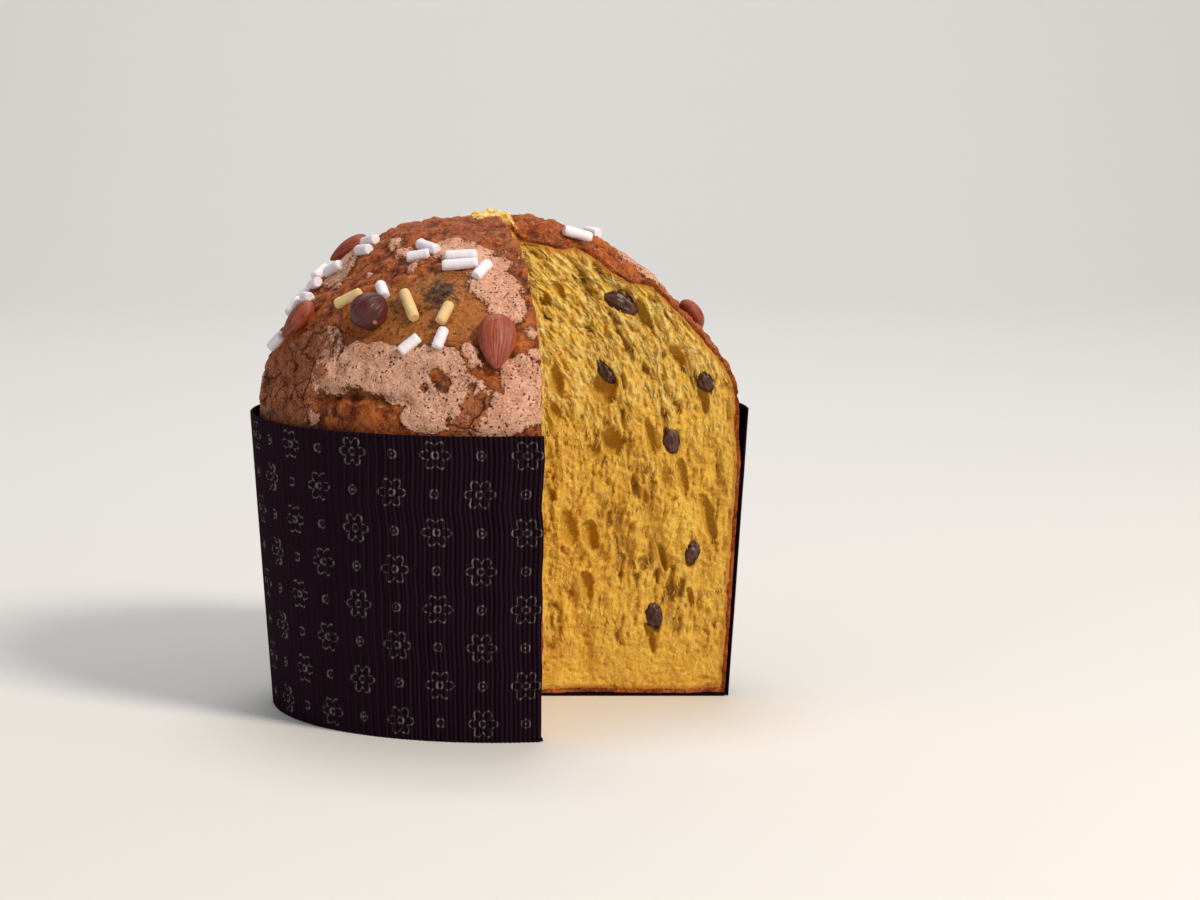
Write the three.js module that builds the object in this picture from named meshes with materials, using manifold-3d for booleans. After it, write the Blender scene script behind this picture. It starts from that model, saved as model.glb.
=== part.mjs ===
// A tall panettone of about one kilogram with a wedge cut out of it, in its paper mould.
// The axis of the loaf is Z, the loaf stands on z = 0, and the missing wedge faces +X and -Y.
// One cut face runs from the axis along +X, the other almost straight along -Y.
// Azimuth turns from +X towards +Y. Polar angle is 0 at the crown and 90 at the dome's shoulder.
// Lengths are in millimetres.
import * as THREE from 'three';
import { mergeVertices } from 'three/addons/utils/BufferGeometryUtils.js';
import Module from 'manifold-3d';

const wasm = await Module();
wasm.setup();

const { PI, sin, cos, tan, abs, min, max, sqrt, exp, floor, imul } = Math;
const rad = THREE.MathUtils.degToRad;

// The paper mould
const CASE_BASE_RADIUS = 85;
const CASE_RIM_RADIUS = 92;
const CASE_HEIGHT = 108;
const PAPER = 1.2;
const BASE_SHEET = 0.9;
const FIT_GAP = 0.35;

// The loaf
const TOP_HEIGHT = 178;
const SHOULDER_HEIGHT = 106;
const SHOULDER_RADIUS = 88.5;
const DOME_HEIGHT = TOP_HEIGHT - SHOULDER_HEIGHT;
const SIDE_FITS_UP_TO = 88;
const POCKET_GAP = 0.3;

// The two cuts, as azimuths
const BACK_CUT = rad(0);
const FRONT_CUT = rad(-78.5);

// How finely the solids are faceted
const TURN_STEPS = 72;
const DOME_RINGS = 20;
const FACE_STEPS_OUT = 14;
const FACE_STEPS_UP = 24;

// A repeatable random number between 0 and 1 for three whole numbers and a seed
function scramble(i, j, k, seed) {
  let h = imul(i, 374761393) + imul(j, 668265263) + imul(k, 1274126177) + imul(seed, 362437);
  h = imul(h ^ (h >>> 13), 1103515245);
  h = imul(h ^ (h >>> 16), 2246822519 | 0);
  return ((h ^ (h >>> 15)) >>> 0) / 4294967296;
}

// Smooth random hills between -1 and 1, one unit apart
function hills(x, y, z, seed) {
  const ease = (t) => t * t * (3 - 2 * t);
  const [i, j, k] = [floor(x), floor(y), floor(z)];
  const [a, b, c] = [ease(x - i), ease(y - j), ease(z - k)];
  let sum = 0;
  for (const [di, dj, dk] of CORNERS) {
    const weight = (di ? a : 1 - a) * (dj ? b : 1 - b) * (dk ? c : 1 - c);
    sum += weight * scramble(i + di, j + dj, k + dk, seed);
  }
  return 2 * sum - 1;
}
const CORNERS = [0, 1, 2, 3, 4, 5, 6, 7].map((n) => [n & 1, (n >> 1) & 1, n >> 2]);

const hillsAt = (p, size, seed) => hills(p.x / size, p.y / size, p.z / size, seed);

function smooth(low, high, value) {
  const t = min(1, max(0, (value - low) / (high - low)));
  return t * t * (3 - 2 * t);
}

// The smooth dome, fuller on the side away from the camera's right, as a point and its outward normal
function domePoint(azimuth, polar) {
  const power = 2 / (1.95 - 0.2 * cos(azimuth) - 0.12 * cos(2 * azimuth));
  const out = SHOULDER_RADIUS * max(0, sin(polar)) ** power;
  const up = SHOULDER_HEIGHT + DOME_HEIGHT * max(0, cos(polar)) ** power;
  return new THREE.Vector3(out * cos(azimuth), out * sin(azimuth), up);
}

function domeNormal(azimuth, polar) {
  const p = domePoint(azimuth, polar);
  const n = new THREE.Vector3(p.x, p.y, (p.z - SHOULDER_HEIGHT) * (SHOULDER_RADIUS / DOME_HEIGHT) ** 2);
  return n.normalize();
}

const onDome = (azimuthDeg, polarDeg) => domePoint(rad(azimuthDeg), rad(polarDeg));

// Broad swells and hollows of the crust: azimuth, polar angle, reach and height
const SWELLS = [
  [-165, 26, 20, 2.6],
  [-160, 45, 11, -3.0],
  [-118, 56, 15, -1.8],
  [-100, 44, 12, 1.4],
  [40, 30, 24, 3.0],
  [120, 58, 20, 2.4],
  [80, 72, 16, -2.0],
].map(([azimuth, polar, reach, height]) => ({ at: onDome(azimuth, polar), reach, height }));

// Folds and splits in the crust, the first two where it rolls down to a cut: two ends as azimuth and polar angle, then half width and depth
const FOLDS = [
  [0, 9, 0, 38, 7, 4.5],
  [0, 12, 0, 18, 6, 3.0],
  [-136, 76, -129, 80, 2.0, 1.6],
  [-129, 80, -110, 80.5, 2.0, 2.0],
  [-150, 66, -158, 76, 2.2, 1.8],
  [-158, 76, -166, 89, 2.6, 2.2],
  [-148, 74, -150, 90, 2.4, 1.6],
  [-88, 58, -84, 72, 2.0, 1.4],
  [150, 60, 138, 84, 2.6, 2.4],
  [100, 78, 76, 80, 2.8, 2.4],
  [58, 62, 40, 82, 2.4, 2.0],
  [24, 70, 10, 86, 2.4, 1.8],
].map(([a, b, c, d, width, depth]) => ({ from: onDome(a, b), to: onDome(c, d), width, depth }));

// Plates of baked almond glaze: round patches that run together, as azimuth, polar angle and radius
const SEEN_GLAZE = [
  [-126, 70, 8], [-119, 71, 10], [-110, 73, 11.5], [-102, 71.5, 9],
  [-105, 84, 9.5], [-97, 81, 11], [-90, 85, 11], [-83, 73, 8], [-81, 80, 8],
  [-112, 29, 7], [-102, 31, 9], [-94, 37, 8.5], [-89, 45, 9], [-86, 52, 6.5],
  [-137, 68, 9], [-131, 75, 7], [-140, 78, 8.5], [-137, 88, 5], [-152, 82, 6], [-166, 80, 6],
];
const GLAZE_RAISE = 1.0;
const HIDDEN_PLATES = 8;
const HIDDEN_FROM = 8;
const HIDDEN_TO = 186;

function glazePatches() {
  const patches = [...SEEN_GLAZE];
  for (let n = 0; n < HIDDEN_PLATES; n++) {
    let azimuth = HIDDEN_FROM + ((HIDDEN_TO - HIDDEN_FROM) * (n + 0.5)) / HIDDEN_PLATES;
    let polar = 26 + 54 * scramble(n, 1, 0, 5);
    for (let m = 0; m < 4; m++) {
      patches.push([azimuth, polar, 6.5 + 4.5 * scramble(n, m, 2, 5)]);
      azimuth += (scramble(n, m, 3, 5) - 0.35) * 16;
      polar = min(84, max(20, polar + (scramble(n, m, 4, 5) - 0.5) * 18));
    }
  }
  return patches.map(([azimuth, polar, radius]) => ({ at: onDome(azimuth, polar), radius }));
}
const GLAZE = glazePatches();

// How far inside a glaze plate a point of the dome is, in mm, below 0 outside
function glazeDepth(p) {
  const ragged = 1.6 * hillsAt(p, 7, 11) + 1.0 * hillsAt(p, 3, 12);
  return max(...GLAZE.map(({ at, radius }) => radius - at.distanceTo(p))) + ragged;
}

function distanceToSegment(p, a, b) {
  const along = new THREE.Line3(a, b).closestPointToPoint(p, true, new THREE.Vector3());
  return along.distanceTo(p);
}

// Height of the real crust above the smooth dome
function crustRelief(p) {
  let height = 1.5 * hillsAt(p, 30, 1) + 1.0 * hillsAt(p, 13, 2) + 0.4 * hillsAt(p, 6, 3);
  for (const { at, reach, height: rise } of SWELLS) {
    height += rise * exp(-((at.distanceTo(p) / reach) ** 2));
  }
  for (const { from, to, width, depth } of FOLDS) {
    height -= depth * exp(-((distanceToSegment(p, from, to) / width) ** 2));
  }
  return height + GLAZE_RAISE * smooth(-0.6, 0.9, glazeDepth(p));
}

// The crust's surface; its relief dies away where the loaf drops into the mould
function crustPoint(azimuth, polar) {
  const p = domePoint(azimuth, polar);
  const relief = crustRelief(p) * smooth(90, 82, (polar * 180) / PI);
  return p.addScaledVector(domeNormal(azimuth, polar), relief);
}

const caseRadius = (z) => CASE_BASE_RADIUS + ((CASE_RIM_RADIUS - CASE_BASE_RADIUS) * z) / CASE_HEIGHT;

// Solids out of three.js geometry
function solid(geometry) {
  const plain = geometry.clone();
  plain.deleteAttribute('normal');
  plain.deleteAttribute('uv');
  const merged = mergeVertices(plain, 1e-3);
  const kept = [];
  const index = merged.index.array;
  for (let n = 0; n < index.length; n += 3) {
    const [a, b, c] = index.slice(n, n + 3);
    if (a !== b && b !== c && c !== a) kept.push(a, b, c);
  }
  if (signedVolume(merged.attributes.position, kept) < 0) kept.reverse();
  const mesh = new wasm.Mesh({
    numProp: 3,
    vertProperties: new Float32Array(merged.attributes.position.array),
    triVerts: new Uint32Array(kept),
  });
  return new wasm.Manifold(mesh);
}

function signedVolume(position, index) {
  const [a, b, c] = [new THREE.Vector3(), new THREE.Vector3(), new THREE.Vector3()];
  let sum = 0;
  for (let n = 0; n < index.length; n += 3) {
    a.fromBufferAttribute(position, index[n]);
    b.fromBufferAttribute(position, index[n + 1]);
    c.fromBufferAttribute(position, index[n + 2]);
    sum += a.dot(b.cross(c));
  }
  return sum;
}

function toGeometry(manifold) {
  const { vertProperties, triVerts } = manifold.getMesh();
  const geometry = new THREE.BufferGeometry();
  geometry.setAttribute('position', new THREE.BufferAttribute(vertProperties, 3));
  geometry.setIndex(new THREE.BufferAttribute(triVerts, 1));
  geometry.computeVertexNormals();
  return geometry;
}

// Moves every vertex of a geometry by a function of its place
function reshape(geometry, move) {
  const position = geometry.attributes.position;
  const p = new THREE.Vector3();
  for (let n = 0; n < position.count; n++) {
    p.fromBufferAttribute(position, n);
    const q = move(p, n);
    position.setXYZ(n, q.x, q.y, q.z);
  }
  return geometry;
}

// A closed profile of [radius, height] turned about Z
function turned(profile, steps = TURN_STEPS) {
  const outline = profile.map(([r, z]) => new THREE.Vector2(r, z));
  return new THREE.LatheGeometry(outline, steps).rotateX(PI / 2);
}

// The uncut loaf
function loaf() {
  const bottom = BASE_SHEET + POCKET_GAP;
  const side = [bottom, SIDE_FITS_UP_TO, 98];
  const profile = [[0, bottom], ...side.map((z) => [sideRadius(z), z])];
  const ringStart = profile.length;
  for (let n = 0; n <= DOME_RINGS; n++) profile.push([DOME_RINGS - n, SHOULDER_HEIGHT + n]);
  const geometry = turned(profile);
  return solid(reshape(geometry, (p, n) => {
    const ring = (n % profile.length) - ringStart;
    if (ring < 0) return p;
    const azimuth = Math.atan2(p.y, p.x);
    return crustPoint(azimuth, (PI / 2) * (1 - ring / DOME_RINGS));
  }));
}

// The loaf fills the mould and draws in a little towards the rim
function sideRadius(z) {
  const inside = caseRadius(z) - PAPER - FIT_GAP;
  return inside - (z > SIDE_FITS_UP_TO ? (1.5 * (z - SIDE_FITS_UP_TO)) / 10 : 0);
}

// The crumb's cut faces. Both are given by how far out from the axis and how high a point is.
const CUTS = {
  back: { azimuth: BACK_CUT, seed: 21, side: -1 },
  front: { azimuth: FRONT_CUT, seed: 22, side: 1 },
};

// A cut face's directions: out from the axis, and into the missing wedge
function cutFrame({ azimuth, side }) {
  const out = new THREE.Vector3(cos(azimuth), sin(azimuth), 0);
  const into = new THREE.Vector3(-sin(azimuth) * side, cos(azimuth) * side, 0);
  return { out, into };
}

// Torn crumb stands out of the cut's plane, towards the missing wedge, by this much
function tornRelief(out, z, seed) {
  const broad = 1.8 * hills(out / 16, z / 34, 0.5, seed);
  const strands = 1.0 * hills((out + 0.25 * z) / 7, z / 22, 3.5, seed);
  return broad + strands - 0.8;
}

// Everything on the open side of one cut, as a block with the torn relief on one face
function openSide(cut, relief) {
  const [reach, bottom, top] = [130, -6, 196];
  const start = -8;
  const block = new THREE.BoxGeometry(1, 1, 1, FACE_STEPS_OUT, 1, FACE_STEPS_UP);
  const { out, into } = cutFrame(cut);
  const up = new THREE.Vector3(0, 0, 1);
  return solid(reshape(block, ({ x, y, z }) => {
    const u = start + (x + 0.5) * (reach - start);
    const h = bottom + (z + 0.5) * (top - bottom);
    const depth = y < 0 ? relief(u, h, cut.seed) : reach;
    const place = new THREE.Vector3().addScaledVector(out, u).addScaledVector(into, depth);
    return place.addScaledVector(up, h);
  }));
}

const notchThroughBread = () => openSide(CUTS.back, tornRelief).intersect(openSide(CUTS.front, tornRelief));

// Scissors cut the paper a little in front of the crumb, in a slightly wavering line
function paperLine(out, z, seed) {
  return 0.5 + 0.35 * hills(0.5, z / 14, 7.5, seed);
}
const notchThroughPaper = () => openSide(CUTS.back, paperLine).intersect(openSide(CUTS.front, paperLine));

// A ball of unit radius, to be reshaped
const ball = (around, rings) => new THREE.SphereGeometry(1, around, rings);

// Turns and moves a solid so that its x runs along `along` and its z along `normal`
function placement(at, along, normal) {
  const z = normal.clone().normalize();
  const x = along.clone().addScaledVector(z, -along.dot(z)).normalize();
  const y = new THREE.Vector3().crossVectors(z, x);
  return new THREE.Matrix4().makeBasis(x, y, z).setPosition(at);
}

function placed(geometry, matrix) {
  return solid(geometry.clone().applyMatrix4(matrix));
}

// The bubbles that open in a cut face: out, height, half width, half height, depth
const SEEN_BUBBLES = [
  [16.3, 148, 2, 2.2, 3], [21.5, 152, 1.8, 3.4, 2.5], [38, 115, 4.5, 7, 4], [20.8, 118, 3, 6.5, 3],
  [20.2, 106.5, 2.2, 4, 2.5], [41.3, 95.5, 4.2, 6, 4.5], [34, 92.5, 3, 3, 3.5], [19.3, 75, 1.8, 2.4, 3],
  [25, 63, 3.2, 8, 3], [33, 61, 3.2, 5.5, 3.5], [32, 42, 2.2, 6, 3.2],
];

function bubbles(seed, count, from) {
  const made = [];
  for (let n = 0; n < count; n++) {
    const out = from + (80 - from) * ((n * 0.618 + scramble(n, 1, 1, seed) * 0.2) % 1);
    const z = 14 + 136 * ((n + 0.5) / count);
    const width = 1.2 + 1.4 * scramble(n, 2, 1, seed);
    if (z + 20 > domeHeightAt(out)) continue;
    made.push([out, z, width, width * (2.4 + 2.2 * scramble(n, 3, 1, seed)), 2.5 + width * 0.6]);
  }
  return made;
}

// Height of the smooth dome at a distance from the axis, on the side of the cuts
function domeHeightAt(out) {
  const share = min(1, out / SHOULDER_RADIUS);
  return SHOULDER_HEIGHT + DOME_HEIGHT * sqrt(max(0, 1 - share ** 2));
}

const BUBBLES = {
  back: [...SEEN_BUBBLES, ...bubbles(31, 9, 50)],
  front: bubbles(32, 14, 12),
};

function bubble(cut, [out, z, halfWidth, halfHeight, depth]) {
  const { out: along, into } = cutFrame(cut);
  const at = along.clone().multiplyScalar(out).setZ(z);
  const slope = z < 125 ? 0.22 : 0.6;
  const lean = new THREE.Vector3(0, 0, 1).addScaledVector(along, -slope);
  return placed(ball(7, 5).scale(halfHeight, halfWidth, depth), placement(at, lean, into));
}

// Raisins that the knife laid bare: out, height, length, thickness, lean in degrees from upright
const RAISINS = {
  back: [
    [44, 147, 15, 7, 62], [39.5, 121, 9.5, 5, 38], [63, 96, 10, 7, 8],
    [71, 54, 9, 6.5, -12], [57, 30, 10, 7, 10], [76, 118, 8.5, 6, 25],
  ],
  front: [
    [22, 140, 9, 6.5, 20], [52, 132, 10, 7, 50], [36, 108, 9.5, 7, 10], [70, 104, 9, 6, 15],
    [18, 78, 9, 6.5, -8], [54, 72, 11, 7.5, 6], [74, 44, 9, 6.5, -10], [33, 34, 10, 7, 14],
  ],
};
const RAISIN_SUNK = 0.25;

function raisinShape(length, thickness, seed, grow = 0) {
  const size = [length / 2 + grow, thickness / 2 + grow, (thickness * 0.8) / 2 + grow];
  return reshape(ball(8, 5), (p) => {
    const wrinkle = 1 + 0.1 * hills(p.x * 2.2 + 5, p.y * 2.2 + 5, p.z * 2.2 + 5, seed);
    return new THREE.Vector3(p.x * size[0], p.y * size[1], p.z * size[2]).multiplyScalar(wrinkle);
  });
}

function raisins() {
  const made = [];
  for (const [name, cut] of Object.entries(CUTS)) {
    const { out: along, into } = cutFrame(cut);
    RAISINS[name].forEach(([out, z, length, thickness, lean], n) => {
      const at = along.clone().multiplyScalar(out).setZ(z);
      at.addScaledVector(into, tornRelief(out, z, cut.seed) - thickness * RAISIN_SUNK);
      const up = new THREE.Vector3(0, 0, 1).addScaledVector(along, -tan(rad(lean)));
      const matrix = placement(at, up, into);
      made.push({
        name: `raisin_${name}_cut_${n + 1}`,
        body: placed(raisinShape(length, thickness, n + 41), matrix),
        pocket: placed(raisinShape(length, thickness, n + 41, POCKET_GAP), matrix),
      });
    });
  }
  return made;
}

// Whole nuts pressed into the glaze: azimuth, polar angle and heading in degrees, and length
const ALMONDS = [
  [-89, 63.8, 180, 21], [-154.8, 60.5, 204, 17], [174, 37.5, 192, 17],
  [153, 68, 75, 21], [128, 44, 150, 20], [118, 74, 60, 21], [78, 57, 100, 22],
  [42, 72, 30, 20], [56, 42, 65, 21], [22, 60, 130, 20],
];
const HAZELNUTS = [[-124, 57.4, 30, 13.5], [146, 55, 200, 13], [98, 48, 10, 13], [64, 76, 80, 13.5]];
const ALMOND_WIDTH = 0.62;
const ALMOND_THICKNESS = 0.36;
const ALMOND_SUNK = 0.05;
const HAZELNUT_SUNK = 0.12;

// An almond lies along x with its point towards +x
function almondShape(length, grow = 0) {
  const [a, b, c] = [1, ALMOND_WIDTH, ALMOND_THICKNESS].map((share) => (length * share) / 2 + grow);
  return reshape(ball(9, 6).rotateZ(-PI / 2), (p) => {
    const narrow = 1 - 0.3 * p.x - 0.12 * max(0, p.x) ** 2;
    return new THREE.Vector3(a * p.x, b * p.y * narrow, c * p.z * narrow);
  });
}

// A hazelnut is nearly round, with a blunt base and a small point
function hazelnutShape(size, grow = 0) {
  const radius = size / 2 + grow;
  return reshape(ball(9, 6).rotateZ(-PI / 2), (p) => {
    const along = p.x > 0 ? 1.0 + 0.12 * p.x ** 4 : 0.9;
    return new THREE.Vector3(radius * p.x * along, radius * p.y, radius * p.z);
  });
}

// Where a topping lies on the crust: its heading is measured from the uphill direction
function lieOnCrust(azimuthDeg, polarDeg, headingDeg, raise) {
  const [azimuth, polar] = [rad(azimuthDeg), rad(polarDeg)];
  const normal = domeNormal(azimuth, polar);
  const sideways = new THREE.Vector3(-sin(azimuth), cos(azimuth), 0);
  const uphill = new THREE.Vector3().crossVectors(normal, sideways);
  const heading = rad(headingDeg);
  const along = uphill.multiplyScalar(cos(heading)).addScaledVector(sideways, sin(heading));
  const at = crustPoint(azimuth, polar).addScaledVector(normal, raise);
  return placement(at, along, normal);
}

function nuts() {
  const kinds = [
    ['almond', ALMONDS, almondShape, (size) => size * ALMOND_THICKNESS * (0.5 - ALMOND_SUNK * 4)],
    ['hazelnut', HAZELNUTS, hazelnutShape, (size) => size * (0.5 - HAZELNUT_SUNK)],
  ];
  return kinds.flatMap(([kind, list, shape, raise]) => list.map(([azimuth, polar, heading, size], n) => {
    const matrix = lieOnCrust(azimuth, polar, heading, raise(size));
    return {
      name: `${kind}_${n + 1}`,
      body: placed(shape(size), matrix),
      pocket: placed(shape(size, POCKET_GAP), matrix),
    };
  }));
}

// Sticks of pearl sugar: azimuth, polar angle, heading and length
const SUGAR_RADIUS = 2;
const SUGAR_SUNK = 0.6;
const SEEN_SUGAR = [
  [-135.6, 52.5, 54, 10.5], [-126.2, 48, 136, 8], [-113.8, 53.3, 145, 14], [-102.8, 55.8, -165, 8.2],
  [-103, 63, -168, 7.5], [-110.8, 65, -136, 8.2], [-119.8, 31.2, 113, 11], [-121.1, 34.8, 69, 8.2],
  [-102.3, 36.1, 85, 11], [-101.8, 39.3, 82, 12.5], [-94, 41.3, 28, 8.5],
  [-166.5, 31.5, 68, 9], [-157.5, 34.8, 80, 9], [-168.5, 42.8, 44, 8], [-178, 46, 130, 8],
  [-172.5, 48.8, 73, 9], [-165.5, 53, 88, 9.5], [-176.5, 53.5, 100, 8], [-171.5, 57, 147, 8],
  [-162.5, 67.5, 53, 9], [26, 28, 80, 8],
];
const HIDDEN_SUGAR = 24;
const CLEAR_OF_NUTS = 13;

function sugarPlaces() {
  const nutPlaces = [...ALMONDS, ...HAZELNUTS].map(([azimuth, polar]) => onDome(azimuth, polar));
  const places = [...SEEN_SUGAR];
  for (let n = 0; n < HIDDEN_SUGAR; n++) {
    const azimuth = 5 + 172 * ((n * 0.618 + 0.1 * scramble(n, 1, 0, 61)) % 1);
    const polar = 14 + 66 * sqrt((n + 0.5) / HIDDEN_SUGAR);
    const at = onDome(azimuth, polar);
    if (nutPlaces.some((nut) => nut.distanceTo(at) < CLEAR_OF_NUTS)) continue;
    places.push([azimuth, polar, 360 * scramble(n, 2, 0, 61), 7 + 5.5 * scramble(n, 3, 0, 61)]);
  }
  return places;
}

function sugarSticks() {
  return sugarPlaces().map(([azimuth, polar, heading, length]) => {
    const stick = new THREE.CylinderGeometry(SUGAR_RADIUS, SUGAR_RADIUS, length, 6).rotateZ(PI / 2);
    return placed(stick, lieOnCrust(azimuth, polar, heading, SUGAR_RADIUS - SUGAR_SUNK));
  });
}

// The bread with its cuts, bubbles, pockets and sugar
function bread(buried) {
  const holes = Object.entries(CUTS).flatMap(([name, cut]) => BUBBLES[name].map((size) => bubble(cut, size)));
  const pockets = buried.map(({ pocket }) => pocket);
  return loaf()
    .subtract(notchThroughBread())
    .add(wasm.Manifold.union(sugarSticks()))
    .subtract(wasm.Manifold.union([...holes, ...pockets]));
}

// The mould's wall, a strip of fluted paper bent round the loaf
function caseWall() {
  const inner = (z) => caseRadius(z) - PAPER;
  const profile = [[caseRadius(0), 0], [caseRadius(CASE_HEIGHT), CASE_HEIGHT]];
  profile.push([inner(CASE_HEIGHT), CASE_HEIGHT], [inner(0), 0], profile[0]);
  return solid(turned(profile, TURN_STEPS)).subtract(notchThroughPaper());
}

// The mould's flat round base
function caseBase() {
  const radius = caseRadius(0) - PAPER - POCKET_GAP;
  const sheet = new THREE.CylinderGeometry(radius, radius, BASE_SHEET, TURN_STEPS).rotateX(PI / 2);
  return solid(sheet.translate(0, 0, BASE_SHEET / 2)).subtract(notchThroughPaper());
}

const finish = (color, roughness) => new THREE.MeshStandardMaterial({ color, roughness, metalness: 0 });
const crust = finish(0xa5602c, 0.7);
const paper = finish(0x2b1a26, 0.75);
const almondSkin = finish(0x8c4a2c, 0.65);
const hazelnutSkin = finish(0x4a1e17, 0.45);
const raisinSkin = finish(0x3a221c, 0.5);

const panettone = new THREE.Group();

function show(name, manifold, material) {
  const mesh = new THREE.Mesh(toGeometry(manifold), material);
  mesh.name = name;
  panettone.add(mesh);
}

const skins = { almond: almondSkin, hazelnut: hazelnutSkin, raisin: raisinSkin };
const buried = [...nuts(), ...raisins()];
show('bread', bread(buried), crust);
show('case_wall', caseWall(), paper);
show('case_base', caseBase(), paper);
for (const { name, body } of buried) show(name, body, skins[name.split('_')[0]]);

export default panettone;
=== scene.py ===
# The looks of the cut panettone: crust, crumb, nuts, raisins, pearl sugar and fluted paper mould.
# Shapes are worked out in millimetres and put into the meshes in metres.
# Azimuth turns from +X towards +Y. Polar angle is 0 at the crown and 90 at the dome's shoulder.
import math
from functools import partial

import bpy
import numpy as np
from mathutils import Matrix, Vector
from mathutils.kdtree import KDTree


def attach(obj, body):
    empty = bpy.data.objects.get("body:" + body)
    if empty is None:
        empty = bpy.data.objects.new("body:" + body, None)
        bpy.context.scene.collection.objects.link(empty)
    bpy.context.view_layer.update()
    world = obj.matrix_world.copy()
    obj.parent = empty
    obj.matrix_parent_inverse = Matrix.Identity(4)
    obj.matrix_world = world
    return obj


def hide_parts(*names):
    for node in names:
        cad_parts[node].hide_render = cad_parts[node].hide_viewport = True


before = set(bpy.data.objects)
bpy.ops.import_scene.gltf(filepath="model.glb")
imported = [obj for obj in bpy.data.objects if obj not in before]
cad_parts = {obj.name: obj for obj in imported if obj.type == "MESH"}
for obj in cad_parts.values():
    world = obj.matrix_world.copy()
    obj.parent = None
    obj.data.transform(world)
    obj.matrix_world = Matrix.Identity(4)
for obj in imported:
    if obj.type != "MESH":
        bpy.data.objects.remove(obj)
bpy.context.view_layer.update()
MM = 0.001

# The loaf and its mould, the same sizes as the solids have
CASE_BASE_RADIUS = 85
CASE_RIM_RADIUS = 92
CASE_HEIGHT = 108
PAPER = 1.2
BREAD_BOTTOM = 1.2
FIT_GAP = 0.35
SHOULDER_HEIGHT = 106
SHOULDER_RADIUS = 88.5
DOME_HEIGHT = 72
SIDE_FITS_UP_TO = 88
BACK_CUT = 0.0
FRONT_CUT = math.radians(-78.5)

# How finely the pieces are drawn
DOME_GRID = 325
CRUMB_ROWS = 396
CRUMB_COLUMNS = 228


# Random hills

def scramble(i, j, k, seed):
    """A repeatable random number between 0 and 1 for whole numbers and a seed"""
    mask = np.uint64(0xFFFFFFFF)
    total = i * 374761393 + j * 668265263 + k * 1274126177 + seed * 362437
    h = np.asarray(total, dtype=np.int64).astype(np.uint64) & mask
    h = ((h ^ (h >> np.uint64(13))) * np.uint64(1103515245)) & mask
    h = ((h ^ (h >> np.uint64(16))) * np.uint64(2246822519)) & mask
    return (h ^ (h >> np.uint64(15))).astype(float) / 4294967296


def hills(x, y, z, seed):
    """Smooth random hills between -1 and 1, one unit apart"""
    x, y, z = np.broadcast_arrays(*(np.asarray(v, dtype=float) for v in (x, y, z)))
    whole = [np.floor(v).astype(np.int64) for v in (x, y, z)]
    part = [v - w for v, w in zip((x, y, z), whole)]
    a, b, c = (t * t * (3 - 2 * t) for t in part)
    total = 0
    for n in range(8):
        di, dj, dk = n & 1, (n >> 1) & 1, n >> 2
        weight = (a if di else 1 - a) * (b if dj else 1 - b) * (c if dk else 1 - c)
        total = total + weight * scramble(whole[0] + di, whole[1] + dj, whole[2] + dk, seed)
    return 2 * total - 1


def hills_at(p, size, seed):
    return hills(p[..., 0] / size, p[..., 1] / size, p[..., 2] / size, seed)


def rolling(p, rows):
    """Random hills of several sizes on top of each other; a row is their height, size and seed"""
    return sum(height * hills_at(p, size, seed) for height, size, seed in rows)


def ripples(u, v, seed, *rows):
    """Random hills over a flat face, one row for each size: height, width, tallness and layer"""
    return sum(height * hills(u / wide, v / tall, layer, seed) for height, wide, tall, layer in rows)


def smooth(low, high, value):
    t = np.clip((value - low) / (high - low), 0, 1)
    return t * t * (3 - 2 * t)


# The dome

def dome_point(azimuth, polar):
    """The smooth dome, fuller on one side, at azimuth and polar angle in radians"""
    azimuth, polar = np.asarray(azimuth, dtype=float), np.asarray(polar, dtype=float)
    power = 2 / (1.95 - 0.2 * np.cos(azimuth) - 0.12 * np.cos(2 * azimuth))
    out = SHOULDER_RADIUS * np.maximum(0, np.sin(polar)) ** power
    up = SHOULDER_HEIGHT + DOME_HEIGHT * np.maximum(0, np.cos(polar)) ** power
    return np.stack([out * np.cos(azimuth), out * np.sin(azimuth), up], axis=-1)


def dome_normal(azimuth, polar):
    normal = dome_point(azimuth, polar)
    normal[..., 2] = (normal[..., 2] - SHOULDER_HEIGHT) * (SHOULDER_RADIUS / DOME_HEIGHT) ** 2
    return normal / np.linalg.norm(normal, axis=-1, keepdims=True)


def on_dome(azimuth, polar):
    return dome_point(math.radians(azimuth), math.radians(polar))


# Broad swells and hollows of the crust: azimuth, polar angle, reach and height
SWELLS = [
    (-165, 26, 20, 2.6),
    (-160, 45, 11, -3.0),
    (-118, 56, 15, -1.8),
    (-100, 44, 12, 1.4),
    (40, 30, 24, 3.0),
    (120, 58, 20, 2.4),
    (80, 72, 16, -2.0),
]

# Folds and splits in the crust, the first two where it rolls down to a cut: two ends as azimuth and
# polar angle, then half width and depth
FOLDS = [
    (0, 9, 0, 38, 7, 4.5),
    (0, 12, 0, 18, 6, 3.0),
    (-136, 76, -129, 80, 2.0, 1.6),
    (-129, 80, -110, 80.5, 2.0, 2.0),
    (-150, 66, -158, 76, 2.2, 1.8),
    (-158, 76, -166, 89, 2.6, 2.2),
    (-148, 74, -150, 90, 2.4, 1.6),
    (-88, 58, -84, 72, 2.0, 1.4),
    (150, 60, 138, 84, 2.6, 2.4),
    (100, 78, 76, 80, 2.8, 2.4),
    (58, 62, 40, 82, 2.4, 2.0),
    (24, 70, 10, 86, 2.4, 1.8),
]

# How many of the folds are the roll down to a cut, which gets no painted crease shadow
ROLLED = 2

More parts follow.
